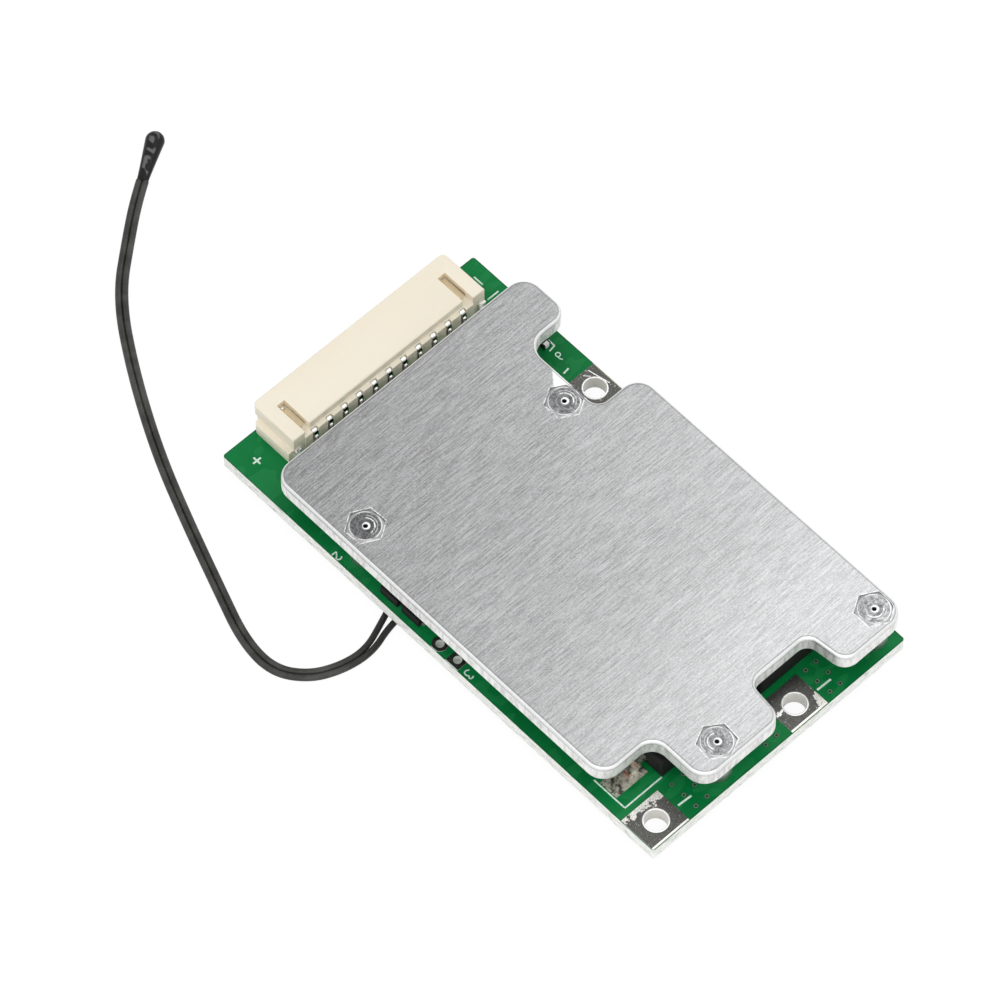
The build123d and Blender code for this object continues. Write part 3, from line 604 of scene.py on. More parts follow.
def softened(name, width):
    """A copy of a solid part with every sharp edge rounded to a width in millimetres. The copy
    stands for the part."""
    mesh = nodes[name].data.copy()
    work = bmesh.new()
    work.from_mesh(mesh)
    bmesh.ops.remove_doubles(work, verts=work.verts, dist=SAME_VERTEX)
    bmesh.ops.dissolve_limit(work, angle_limit=FLAT_ANGLE, verts=work.verts, edges=work.edges)
    work.to_mesh(mesh)
    work.free()
    mesh.polygons.foreach_set("use_smooth", [True] * len(mesh.polygons))
    piece = linked(name + "_soft", mesh)
    bevel = piece.modifiers.new("edges", "BEVEL")
    bevel.width = width * MM
    bevel.segments = 2
    bevel.limit_method = "ANGLE"
    bevel.angle_limit = EDGE_ANGLE
    bevel.harden_normals = True
    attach(piece, "root")
    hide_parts(name)
    return piece


edges = {"connector_housing": 0.09}
edges.update({name: 0.12 for name in nodes
              if name.startswith("transistor_") and name.endswith("_body")})
edges.update({"protection_chip": 0.08, "sense_diodes": 0.08})
soft = {name: softened(name, width) for name, width in edges.items()}
print("softened:", len(soft))

# %% [markdown]
# ## Marks on the board
# White ink stands a hundredth of a millimetre proud of the green mask. Each printed line is a strip
# with a low domed section that follows the middle of its stroke. The marks are plain: plus and
# minus beside the terminals, numbers, and outlines of components. Text objects would give the
# numbers of a typeface, and a board printer's are plain strokes. Streaks of solder on two pads are
# made in the same way.

# %% Printed marks
BOARD_TOP = 2.9
BOARD_LEFT = -17.0
HEADER_EDGE = 30.075
PAD_TOP = 2.97
INK = 0.17


def place(u, v):
    """A place on the board, from its left edge and its header edge, in the frame."""
    return np.column_stack([np.asarray(u, float) + BOARD_LEFT, HEADER_EDGE - np.asarray(v, float)])


def stroke(route, width, base, crown=0.014, gap=0.002):
    """A strip of five points across: the height is the crown times one minus the square of the
    distance from the middle. It is open below, where it lies on the board."""
    route = np.asarray(route, float)
    run = np.gradient(route, axis=0)
    run /= np.linalg.norm(run, axis=1)[:, None]
    side = np.column_stack([-run[:, 1], run[:, 0]])
    across = np.linspace(-1, 1, 5)
    flat = route[:, None] + side[:, None] * (across * width / 2)[None, :, None]
    z = base + gap + crown * (1 - across**2)
    grid = np.concatenate([flat, np.broadcast_to(z[None, :, None], flat.shape[:2] + (1,))], -1)
    return grid.reshape(-1, 3), grid_faces(len(route), 5, closed=False)


def line(u0, v0, u1, v1, steps=6):
    """A straight stroke between two places of the board."""
    t = np.linspace(0, 1, steps)
    return place(u0 + (u1 - u0) * t, v0 + (v1 - v0) * t)


def arc(u, v, radius, start, end, steps=14):
    """A round stroke: from one angle to another, in degrees, about a place of the board."""
    a = np.radians(np.linspace(start, end, steps))
    return place(u + radius * np.cos(a), v - radius * np.sin(a))


strokes = [
    (line(32.39, 1.8, 32.39, 3.08), INK), (line(31.5, 4.7, 33.0, 4.7), INK),
    (line(1.55, 2.75, 2.6, 2.75), 0.2), (line(2.08, 2.25, 2.08, 3.25), 0.2),
    (line(1.27, 51.5, 1.3, 55.7), INK), (line(1.27, 55.75, 6.23, 55.75), INK),
    (line(32.62, 12.3, 32.62, 13.2), INK), (line(32.65, 13.2, 31.8, 13.34), INK),
    (line(31.0, 16.2, 31.78, 16.09), 0.2),
    (line(23.81, 59.17, 25.61, 59.23), 0.22), (line(5.19, 59.06, 6.86, 59.16), 0.22),
    (place([0.09, 0.67], [15.76, 15.77]), 0.15),
    (place([0.66, 0.35, 0.14, 0.12, 0.17, 0.38, 0.6, 0.68],
           [15.78, 16.18, 16.3, 16.42, 16.57, 16.66, 16.62, 16.5]), 0.15),
    (place([0.96, 0.67, 0.4, 0.34, 0.33, 0.42, 0.5],
           [34.43, 34.24, 34.3, 34.45, 34.66, 34.82, 34.85]), 0.15),
    (place([0.5, 0.3, 0.4, 0.6, 0.78], [34.85, 35.1, 35.24, 35.27, 35.17]), 0.15),
    (line(0.1, 31.98, 0.08, 33.7), 0.12), (line(0.1, 29.94, 0.1, 30.73), 0.12),
    (arc(32.14, 14.2, 0.25, 0, 360), 0.12),
    (place([31.92, 31.95, 32.1], [14.32, 14.7, 14.95]), 0.12),
]
solder_streaks = [
    (line(18.85, 58.65, 19.85, 58.48), 0.26), (line(19.1, 58.6, 19.4, 58.55), 0.5),
    (line(33.01, 17.65, 33.55, 20.19), 0.1), (line(32.2, 17.75, 32.7, 18.3), 0.08),
]


def printed(name, parts, base=BOARD_TOP):
    """All strokes of one ink or solder, joined into one piece."""
    points, faces, total = [], [], 0
    for route, width in parts:
        p, f = stroke(route, width, base)
        points.append(p)
        faces.extend(f[:, ::-1] + total)
        total += len(p)
    return piece_from(name, np.vstack(points), faces)


ink = printed("board_print", strokes)
streaks = printed("pad_streaks", solder_streaks, PAD_TOP)
print("strokes:", len(strokes), "streaks:", len(solder_streaks))

# %% [markdown]
# ## Vias
# A via is a small plated hole that joins the copper of both sides. The mask covers it and sinks in
# a little, which leaves a low ring with a shallow dish. Bump alone would vanish at a flat angle,
# so each one is a profile turned about its middle, and one piece holds them all.

# %% Vias
VIAS = np.array([
    (7.95, 56.93), (6.37, 56.98), (7.92, 58.53), (6.39, 58.62), (7.89, 60.24), (6.40, 60.27),
    (25.98, 56.83), (24.56, 56.85), (25.98, 58.49), (24.51, 58.48), (25.97, 60.16), (24.60, 60.13),
    (15.94, 60.08), (17.44, 60.05),
])
VIA_RADII = [0.0, 0.08, 0.13, 0.18, 0.23, 0.3]
VIA_HEIGHTS = [0.004, 0.004, 0.012, 0.03, 0.02, 0.001]
VIA_POINTS = 20
ring = turned(VIA_RADII, VIA_HEIGHTS, VIA_POINTS)
points, faces = copies(ring, lifted(place(*VIAS.T), BOARD_TOP))
via_rings = piece_from("via_rings", points, faces[:, ::-1])
print("vias:", len(VIAS))

# %% [markdown]
# ## Writing shader sums as formulas
# A finish is a formula: some noise, a mask, a mix of two colours. Node trees are hard to read as
# lists of links, so one small class wraps a socket and lets Python's own signs add the Math nodes.
# A colour never goes through a Math node, which would turn it grey: mix() joins colours instead.

# %% Shader maths


def sign(operation):
    """Two methods for one of Python's signs: term with number, and number with term."""
    def plain(self, other):
        return self.math(operation, self, other)

    def reflected(self, other):
        return self.math(operation, other, self)
    return plain, reflected


class Term:
    """One number of a finish that varies over the surface."""
    __add__, __radd__ = sign("ADD")
    __sub__, __rsub__ = sign("SUBTRACT")
    __mul__, __rmul__ = sign("MULTIPLY")
    __pow__ = sign("POWER")[0]
    most = sign("MAXIMUM")[0]

    def __init__(self, nodes, socket):
        self.nodes = nodes
        self.socket = socket

    def __abs__(self):
        return self.math("ABSOLUTE", self)

    def math(self, operation, *values):
        """The result of one Math node."""
        return self.nodes.node("ShaderNodeMath", {"operation": operation}, dict(enumerate(values)))

    def ramp(self, low, high, kind="LINEAR"):
        """0 below low, 1 above high, and a straight rise between them."""
        return self.nodes.node("ShaderNodeMapRange", {"interpolation_type": kind},
                               {"Value": self, "From Min": low, "From Max": high})

    def step(self, low, high):
        """0 below low, 1 above high, and a smooth step between them."""
        return self.ramp(low, high, "SMOOTHSTEP")

    def near(self, middle, low, high):
        """1 within low of a value, 0 further than high from it."""
        return 1 - abs(self - middle).step(low, high)


class Nodes:
    """A node tree in the making. Every node comes from the one method node()."""

    def __init__(self, owner):
        owner.use_nodes = True
        self.tree = owner.node_tree
        self.tree.nodes.clear()

    def node(self, kind, settings, inputs, output=0):
        """One node: its settings first, then a value or a link for each socket."""
        made = self.tree.nodes.new(kind)
        for key, value in settings.items():
            setattr(made, key, value)
        for key, value in inputs.items():
            if isinstance(value, Term):
                self.tree.links.new(value.socket, made.inputs[key])
            else:
                made.inputs[key].default_value = value
        return Term(self, made.outputs[output]) if made.outputs else None

    def seen(self):
        """1 for rays from the camera, off mirrors and through glass, and 0 for all others."""
        camera, mirror, glass = (self.node("ShaderNodeLightPath", {}, {}, f"Is {kind} Ray")
                                 for kind in ("Camera", "Glossy", "Transmission"))
        return camera.most(mirror).most(glass)


class Finish(Nodes):
    """A material in the making. What is the same all over goes on the shader's own sockets."""

    def __init__(self, name, **constants):
        self.material = bpy.data.materials.new(name)
        super().__init__(self.material)
        values = {key.replace("_", " "): value for key, value in constants.items()}
        self.surface = self.node("ShaderNodeBsdfPrincipled", {}, values)
        self.node("ShaderNodeOutputMaterial", {}, {"Surface": self.surface})
        self.object_place = self.node("ShaderNodeTexCoord", {}, {}, "Object")

    def mapped(self, scale=1, centre=(0, 0, 0), turn=0.0):
        """Object coordinates in millimetres about a centre, turned and stretched."""
        moved = self.node("ShaderNodeVectorMath", {"operation": "SUBTRACT"},
                          {0: self.object_place, 1: tuple(x * MM for x in centre)})
        stretch = tuple(1000.0 * x for x in np.broadcast_to(scale, 3).tolist())
        return self.node("ShaderNodeMapping", {}, {
            "Vector": moved, "Rotation": (0, 0, -turn), "Scale": stretch})

    def noise(self, scale=1, detail=2.0, rough=0.5, centre=(0, 0, 0), turn=0.0):
        """Soft noise from 0 to 1, with scale cycles to the millimetre, on all axes or on each."""
        return self.node("ShaderNodeTexNoise", {}, {
            "Vector": self.mapped(scale, centre, turn), "Scale": 1.0, "Detail": detail,
            "Roughness": rough})

    def axes(self, centre=(0, 0, 0)):
        """The three object coordinates in millimetres, as three terms."""
        vector = self.mapped(1, centre)
        return [self.node("ShaderNodeSeparateXYZ", {}, {0: vector}, axis) for axis in "XYZ"]

    def hexagon(self, centre, turn):
        """A hexagon's own distance from its middle: the largest of three, each the size of the dot
        product of the place with one flat's direction."""
        x, y, z = self.axes(centre)
        angles = np.radians(turn + 30 + 60 * np.arange(3)).tolist()
        flats = [abs(x * float(np.cos(a)) + y * float(np.sin(a))) for a in angles]
        return flats[0].most(flats[1]).most(flats[2])

    def facing(self, axis="Z"):
        """How far the surface looks along an axis: 1 along it, 0 across, -1 against it."""
        normal = self.node("ShaderNodeNewGeometry", {}, {}, "Normal")
        return self.node("ShaderNodeSeparateXYZ", {}, {0: normal}, axis)

    def mix(self, share, a, b):
        """Colour a where share is 0 and b where it is 1. A plain number is a grey."""
        a, b = (c if isinstance(c, Term) else (*np.broadcast_to(c, 3).tolist(), 1) for c in (a, b))
        return self.node("ShaderNodeMix", {"data_type": "RGBA"}, {0: share, 6: a, 7: b}, 2)

    def set(self, bump, **terms):
        """Links terms to the shader, and a height in millimetres through a Bump node."""
        height, strength = bump
        terms["Normal"] = self.node("ShaderNodeBump", {}, {
            "Strength": strength, "Distance": MM, "Height": height}, "Normal")
        for key, term in terms.items():
            self.tree.links.new(term.socket, self.surface.socket.node.inputs[key.replace("_", " ")])
        return self.material


def srgb(red, green, blue):
    """A colour as a screen shows it, 0 to 255, made linear: the usual curve with power 2.4."""
    c = np.array([red, green, blue]) / 255
    return tuple(np.where(c <= 0.04045, c / 12.92, ((c + 0.055) / 1.055) ** 2.4))


def paint(material, *pieces):
    """Puts one finish on every slot of these pieces."""
    for piece in pieces:
        piece.data.materials.clear()
        piece.data.materials.append(material)


print("screen grey 188 as a linear tone:", round(float(srgb(188, 188, 188)[0]), 3))

# %% [markdown]
# ## Brushed aluminium
# Brushing leaves fine parallel scratches, here across the board's width. The shader's own
# anisotropy would stretch the shine, but not break it into the short dashes that are seen here.
# Noise that is stretched some twentyfold along the scratches does both: it drives the height and
# the tone, and a coarser band of it shifts the roughness. The sides are torn by the punch: paler,
# rough and matt. Light is also painted onto the face: a painted light gradient towards the rear
# right, painted highlights on the roll, on the pressed lips and on one patch near the notch, and a
# thin line of painted shade where the roll meets the face.

# %% Aluminium


def aluminium():
    """Streaks are noise stretched along the brushing. A painted light gradient makes the plate
    lighter towards the rear right, by a sum of x and y. The side mask is one below the roll. A
    painted highlight lies between one hexagon and the notch: where a sum of x and y, blurred by
    noise, passes a level. Round each hexagon the pressed lip carries a painted highlight in places.
    The roll carries a painted highlight, with a thin line of painted shade where it meets the face."""
    f = Finish("brushed_aluminium", Metallic=1.0)
    fine = f.noise((0.45, 11, 1), 3, 0.6)
    grain = f.noise((3.5, 13, 6), 2, 0.6)
    broad = f.noise((0.05, 0.08, 0.2), 2, 0.5)
    torn = f.noise((2.0, 2.0, 0.5), 4, 0.65)
    x, y, z = f.axes()
    below = z - PLATE_TOP
    side = 1 - below.step(-0.6, -0.3)
    streak = (fine * 0.55 + grain * 0.45).step(0.33, 0.67)
    # Painted light: the face is lighter towards the rear right, by a sum of x and y with broad
    # noise.
    rear = (0 - y).ramp(13, 23)
    painted_light_ramp = (x * 0.01015 - y * 0.01185 + rear * 0.2 + broad * 0.3 + 0.243).ramp(0, 1)
    face = f.mix(painted_light_ramp, f.mix(streak, (0.16, 0.161, 0.163), (0.43, 0.433, 0.437)),
                 f.mix(streak, (0.41, 0.413, 0.418), (0.72, 0.723, 0.73)))
    speck = f.noise((5, 8, 7), 0, 0.4).step(0.86, 0.89)
    face = f.mix(speck * 0.6, face, 0.95)
    # A painted highlight, near white, on a patch between one hexagon and the notch.
    painted_highlight = (x * 0.763 - y * 0.647 - grain * 0.5).step(0.05, 0.25)
    painted_highlight = painted_highlight * (x * 0.52 + y * 0.854).step(14.2, 14.4) * (1 - y.step(12.9, 13.2))
    face = f.mix(painted_highlight * 0.9, face, (0.95, 0.95, 0.955))
    # Round each hexagon, a painted highlight in places on the pressed lip.
    for at_x, at_y, turn in STANDOFFS.values():
        lip = f.hexagon((at_x, at_y, 0), turn).near(1.84, 0.02, 0.08) * torn.step(0.42, 0.52)
        face = f.mix(lip * 0.8, face, 0.9)
    # A painted highlight on the rolled edge.
    roll_highlight = below.step(-0.4, -0.25) * (1 - below.step(-0.07, -0.04))
    face = f.mix(roll_highlight * 0.7, face, 0.9)
    # A thin line of painted shade where the roll meets the flat face.
    seam_shade = below.step(-0.06, -0.035) * (1 - below.step(-0.012, -0.002))
    face = f.mix(seam_shade * 0.6, face, (0.22, 0.22, 0.225))
    edge = f.mix(torn.step(0.3, 0.6), (0.60, 0.60, 0.59), (0.86, 0.86, 0.85))
    rough = (0.34 + grain * 0.1 + broad * 0.08) * (1 - side) + (0.5 + torn * 0.2) * side
    height = streak * 0.008 * (1 - side) + torn * 0.04 * side
    return f.set((height, 0.6), Base_Color=f.mix(side, face, edge), Roughness=rough)


paint(aluminium(), spreader)
print("finished:", spreader.name)

# %% [markdown]
# ## Steel of the standoffs
# Turning leaves fine rings, and pressing stains and scuffs the face. Every head gets its own copy
# of the finish, centred on its axis, with its own painted tone, lighter or darker as the light
# falls on that head, and its own side for painted highlights. The ring and the cone are in the
# mesh, but in an even room their slopes hardly show, so painted highlights draw their bright sides
# too, and painted shade darkens the groove and the centre hole.

# %% Standoff finish
STEEL_HIGHLIGHT = 0.92
# For each head: a painted tone, lighter or darker as the light falls on it, and the direction of
# the side that gets painted highlights.
HEAD_PAINTED_LIGHT = {
    "header_right": (0.20, (1.0, 0.1)), "header_left": (0.13, (0.9, -0.4)),
    "rear_right": (0.33, (-0.3, -0.9)), "rear_left": (0.28, (-0.7, 0.7)),
}


def turned_steel(name, centre, turn, tone, lit):
    """The face is mottled steel in a painted tone per head. A raised ring carries a painted
    highlight on
    one side: where the place's direction from the axis agrees with the given one. The cone is
    painted lighter, the groove darker with painted shade, the cone's inner edge and the hexagon's
    rim carry thin painted highlights, broken by noise, a painted highlight rings the centre mark,
    and the hole in its middle is painted black as shade."""
    f = Finish(name, Metallic=1.0)
    x, y, z = f.axes(centre)
    distance = (x * x + y * y) ** 0.5
    reach = f.hexagon(centre, turn)
    stain = f.noise(1.8, 4, 0.7, centre)
    fine = f.noise(6, 3, 0.65)
    part = f.noise(0.6, 1, 0.5, centre)
    # The head's tone is painted light, lighter or darker as light falls on it; stains mottle it.
    low, high = (tuple(tone * k * c for c in (1, 1.01, 1.03)) for k in (0.45, 1.75))
    colour = f.mix((stain * 0.4 + fine * 0.6).step(0.34, 0.66), low, high)
    # The cone is painted lighter: painted light on its slope.
    colour = f.mix((distance + fine * 0.3).step(1.62, 1.68) * 0.6, colour, (0.42, 0.42, 0.425))
    # Painted highlights on the raised rings, on the side that faces the given direction.
    side = (x * lit[0] + y * lit[1]) * (distance + 0.01) ** -1.0
    rings = distance.near(0.92, 0.03, 0.07) + distance.near(1.2, 0.02, 0.05) * 0.5
    colour = f.mix(rings * side.step(0.1, 0.5) * stain.step(0.38, 0.46), colour, STEEL_HIGHLIGHT)
    # A ring of painted shade in the groove.
    colour = f.mix(distance.near(0.62, 0.04, 0.14) * 0.5, colour, low)
    # Thin painted highlights on the cone's inner edge and on the hexagon's rim, broken by noise.
    inner = distance.near(1.6, 0.02, 0.05) * part.step(0.44, 0.54)
    colour = f.mix(inner * 0.8, colour, STEEL_HIGHLIGHT)
    rim = reach.step(1.69, 1.71) * part.step(0.36, 0.44)
    colour = f.mix(rim, colour, STEEL_HIGHLIGHT)
    # A painted highlight round the centre mark.
    mark = ((x - 0.06) * (x - 0.06) + (y + 0.05) * (y + 0.05)) ** 0.5
    colour = f.mix(1 - (mark + fine * 0.1).step(0.42, 0.48), colour, 0.95)
    # Painted shade: the centre hole is painted black.
    colour = f.mix(1 - (distance + stain * 0.1).step(0.24, 0.29), colour, 0.004)
    colour = f.mix(z.step(7.5, 7.6), (0.5, 0.5, 0.51), colour)
    height = fine * 0.012 + stain * 0.02
    return f.set((height, 0.7), Base_Color=colour, Roughness=0.26 + stain * 0.16 + fine * 0.1)


for name, (x, y, turn) in STANDOFFS.items():
    paint(turned_steel("standoff_" + name, (x, y, 0), turn, *HEAD_PAINTED_LIGHT[name]), heads[name])
print("standoff finishes:", len(heads))

# %% [markdown]
# ## Solder mask over glass fibre
# The top and bottom are covered in glossy green mask, slightly wavy over the copper. The sawn edges
# show the bare laminate: pale, with white dashes where the glass was cut. One finish does both,
# because the board is one solid: a mask on the surface's direction tells its edges from its faces.

# %% Board finish


def board_finish():
    """The side mask is one where the surface looks sideways; dashes are noise stretched along the
    edge; the mask's waviness is a soft bump. The mask is thin and dark along the board's rim, and
    tints the top of the sawn edge."""
    f = Finish("green_laminate", Specular_IOR_Level=0.12)
    up = abs(f.facing())
    side = 1 - up.step(0.3, 0.6)
    x, y, z = f.axes()
    cloud = f.noise(0.12, 3, 0.5)
    fine = f.noise(2.2, 3, 0.55)
    tracks = f.noise((0.5, 0.9, 0.2), 0, 0.3).step(0.60, 0.62)
    mask = f.mix(cloud.step(0.3, 0.7), srgb(4, 106, 52), srgb(14, 124, 64))
    mask = f.mix(tracks * 0.22, mask, srgb(48, 148, 86))
    rim = (abs(x) - 16.85).step(0.0, 0.08).most((abs(y + 0.425) - 30.35).step(0.0, 0.08))
    mask = f.mix(rim * 0.6, mask, srgb(6, 74, 34))
    dashes = f.noise((0.9, 0.9, 6), 4, 0.7)
    glass = f.mix(dashes.step(0.34, 0.5), (0.52, 0.54, 0.48), (0.95, 0.96, 0.93))
    skin = (z - 2.1).step(0.66, 0.78)
    glass = f.mix(skin * 0.5, glass, srgb(130, 184, 148))
    rough = (0.26 + fine * 0.1) * (1 - side) + side * 0.8
    waves = cloud * 0.2 + fine * 0.008 + tracks * 0.02
    height = waves * (1 - side) + dashes * 0.05 * side
    return f.set((height, 0.5), Base_Color=f.mix(side, mask, glass), Roughness=rough)


paint(board_finish(), nodes["circuit_board"])
print("finished: circuit_board")

# %% [markdown]
# ## Ink and sunken mask
# White ink is thin in places, so that some green shows through. Over each via the mask is darker
# where it dips and paler on its rim, which a step on the height above the board tells apart.

# %% Ink and via finish


def ink_finish():
    """A pale green that noise draws towards white."""
    f = Finish("board_print")
    thin = f.noise(5, 3, 0.6)
    tone = f.mix(thin.step(0.3, 0.6), srgb(176, 218, 196), srgb(224, 240, 230))
    return f.set((thin * 0.02, 0.4), Base_Color=tone, Roughness=0.5 + thin * 0.2)


def via_finish():
    """The rim is pale and the dish is dark, with blotches of plain mask on both."""
    f = Finish("via_mask", Specular_IOR_Level=0.3)
    z = f.axes()[2]
    blotch = f.noise(3, 3, 0.6)
    rim = z.step(BOARD_TOP + 0.010, BOARD_TOP + 0.022)
    tone = f.mix(rim, srgb(12, 52, 32), srgb(96, 128, 100))
    tone = f.mix(blotch.step(0.5, 0.75), tone, srgb(28, 104, 60))
    return f.set((blotch * 0.03, 0.5), Base_Color=tone, Roughness=0.35 + blotch * 0.15)


paint(ink_finish(), ink)
paint(via_finish(), via_rings)
print("finished:", ink.name, via_rings.name)

# %% [markdown]
# ## Nylon
# The header's nylon is warm white, with the faint mottle of glass-filled plastic. Light goes a
# little way into it, so a plain white paint would look like chalk: a weak subsurface share softens
# its shadows. The walls of the two windows carry a warm painted shade, which stands for the light
# that soaks through them.

# %% Nylon


def nylon(name, level):
    """Colour and roughness drift by soft noise; a fine grain gives the satin of a mould. The warm
    painted shade inside the two window openings is a box about each, from the distance along x to
    the shroud's middle, and it ends below the top."""
    f = Finish(name, Subsurface_Weight=0.12, Subsurface_Radius=(1, 0.7, 0.4),
               Subsurface_Scale=0.0006, Specular_IOR_Level=0.4)
    broad = f.noise((0.09, 0.12, 0.3), 3, 0.5)
    fine = f.noise(7, 3, 0.6)
    shades = (0.86, 0.79, 0.645), (0.88, 0.815, 0.68)
    low, high = (tuple(c * level for c in shade) for shade in shades)
    x, y, z = f.axes((HEADER_X, 27.6, 0))
    # A warm painted shade inside the two window openings, standing for light that soaks through the
    # nylon.
    window_warm_shade = abs(x).near(10.85, 0.52, 0.56) * y.near(0, 1.5, 1.56) * (1 - z.step(6.2, 6.34))
    tone = f.mix(window_warm_shade * 0.75, f.mix(broad.step(0.3, 0.7), low, high), (0.86, 0.70, 0.46))
    return f.set((fine * 0.012 + broad * 0.05, 0.5), Base_Color=tone,
                 Roughness=0.42 + fine * 0.12 + broad * 0.06)


paint(nylon("cream_nylon", 1.0), soft["connector_housing"])
# The window floors take the same nylon 1.12 times lighter: painted light against the shade inside
# the windows.
paint(nylon("inner_nylon_painted_light", 1.12), *floors)
print("nylon pieces:", 1 + len(floors))

# %% [markdown]
# ## Tin and solder
# Tinned parts are bright but uneven: hot tin runs together in patches and goes dull between them.
# One function serves all of them, because they differ only in their tones and in how large their
# patches are. Where a leg was cut, the copper shows.

# %% Tin


def tin(name, dark, bright, patch_scale, bump_size, share_from=0.42, cut_end=None):
    """Dark smooth tin with bright rough patches where a noise passes a threshold. Where a colour
    for cut ends is given, it covers what looks towards the board's left edge."""
    f = Finish(name, Metallic=1.0)
    patch = f.noise(patch_scale, 4, 0.6)
    fine = f.noise(9, 3, 0.6)
    share = (patch * 0.7 + fine * 0.3).step(share_from, share_from + 0.14)
    tone = f.mix(share, dark, bright)
    if cut_end is not None:
        tone = f.mix((0 - f.facing("X")).step(0.93, 0.97), tone, cut_end)
    return f.set((patch * bump_size + fine * 0.012, 0.8), Base_Color=tone,
                 Roughness=0.22 + share * 0.25 + fine * 0.1)


def hole_solder():
    """Bright matt solder: nearly white on the lip, pale grey down the wall."""
    f = Finish("hole_solder")
    z = f.axes()[2]
    fine = f.noise(6, 3, 0.6)
    lip = z.step(2.93, 2.97)
    top = f.mix(fine.step(0.3, 0.5), (0.7, 0.69, 0.67), (0.97, 0.965, 0.95))
    return f.set((fine * 0.02, 0.6), Base_Color=f.mix(lip, (0.80, 0.785, 0.74), top),
                 Metallic=lip * 0.6, Roughness=0.3 + fine * 0.15)


by_slot = {
    "tin_plate": tin("tinned_parts", (0.42, 0.41, 0.39), (0.78, 0.77, 0.74), 1.4, 0.03),
    "solder": tin("solder_joints", (0.36, 0.36, 0.35), (0.7, 0.7, 0.68), 1.1, 0.08),
    "screw_zinc": tin("screw_zinc", (0.42, 0.42, 0.43), (0.66, 0.66, 0.67), 1.5, 0.01),
}
lands = tin("lands", (0.20, 0.19, 0.17), (0.80, 0.76, 0.66), 1.2, 0.05, 0.40)
legs = tin("cut_leads", (0.40, 0.38, 0.34), (0.80, 0.77, 0.70), 1.4, 0.03, 0.42, (0.36, 0.13, 0.07))
# The hold-down tabs take tin pushed to near black and near white: partly random tin patches, partly
# painted shade and painted glints.
tab = tin("hold_down_tabs", (0.12, 0.12, 0.115), (0.95, 0.94, 0.92), 2.4, 0.01, 0.36)
by_name = {"transistor_lands": lands, "hold_down_left": tab, "hold_down_right": tab}
by_name.update({f"transistor_{i}_leads": legs for i in (1, 2, 3, 4)})
# The swellings take near-white tin: a painted highlight.
paint(tin("swelling_highlight_tin", (0.8, 0.79, 0.77), (0.95, 0.94, 0.92), 4.0, 0.01), glints)
paint(hole_solder(), *linings, streaks)
print("tin by slot:", len(by_slot), "by name:", len(by_name))

# %% [markdown]
# ## Wire terminals
# Each big pad was tinned by hand round its hole. The tin is mirror-like where it lay still, and its
# dark tone there is a painted reflection of dark surroundings; it is rough and white where the iron
# was drawn off. Since the strokes differ from pad to pad, every pad has its own finish, centred on
# its hole, and a few numbers say where its scuff lies.

# %% Wire terminals


def terminal(name, centre, scuff, border):
    """A tinned pad about its hole. The wall of the hole is pale and matt, and the pad is painted
    dark, a painted reflection, with fine grain. The scuff is a direction and a level: beyond it the
    tin is rough and white. The border is a direction, the pad's reach along it and a strength: a
    bright line of solder runs there, with bare laminate outside it."""
    f = Finish(name)
    x, y, z = f.axes(centre)
    wall = 1 - abs(f.facing()).step(0.4, 0.6)
    grain = f.noise(10, 3, 0.7)
    patch = f.noise(1.1, 4, 0.65)
    # The pad's dark tone is a painted reflection of dark surroundings in the mirror-like tin.
    tone = f.mix(grain.step(0.3, 0.75), (0.065, 0.065, 0.06), (0.16, 0.158, 0.15))
    specks = f.noise(5, 2, 0.6).step(0.66, 0.70)
    tone = f.mix(specks * 0.6, tone, (0.7, 0.7, 0.68))
    rough = x * scuff[0] + y * scuff[1] + (patch - 0.5) * 3.6
    rough = rough.step(scuff[2], scuff[2] + 0.12)
    tone = f.mix(rough, tone, f.mix(grain.step(0.35, 0.6), (0.5, 0.48, 0.44), (0.93, 0.92, 0.89)))
    outer = x * border[0] + y * border[1]
    line_of_solder = outer.step(border[2] - 0.3, border[2] - 0.26) * border[3]
    tone = f.mix(line_of_solder, tone, (0.95, 0.95, 0.93))
    bare = outer.step(border[2] - 0.12, border[2] - 0.08)
    tone = f.mix(bare, tone, (0.60, 0.55, 0.36))
    tone = f.mix(wall, tone, (0.80, 0.78, 0.73))
    return f.set((rough * 0.03 + grain * 0.02, 0.8), Base_Color=tone, Metallic=1 - wall,
                 Roughness=0.26 + rough * 0.25 + grain * 0.12)


FAR = 9.0
TERMINALS = {
    "terminal_b": ((*HOLES["b"], 0), (0.2, 0.8, 2.1), (1, 0, 1.95, 0.0)),
    "terminal_p": ((*HOLES["p"], 0), (0.9, -0.35, 2.0), (0, -1, 2.2, 1.0)),
    "terminal_c": ((*HOLES["c"], 0), (0.12, 1.0, 1.5), (0, -1, 2.2, 1.0)),
    "spare_pads": ((0, 0, 0), (0, 0, FAR), (0, 0, FAR, 0.0)),
}
by_name.update({name: terminal(name, *values) for name, values in TERMINALS.items()})
print("pads:", len(TERMINALS))

# %% [markdown]
# ## Pins and chip ends
# The pins are square wire, bent down behind the shroud. Steps on the height paint each one with
# highlights along its top, on the swelling and at its foot, and with shade at its bend; its sides
# that face along x are painted lighter too. The chip capacitor's tinned middle is framed in black
# painted shadow, by the larger of two shares of its half sizes.

# %% Pins and chip ends


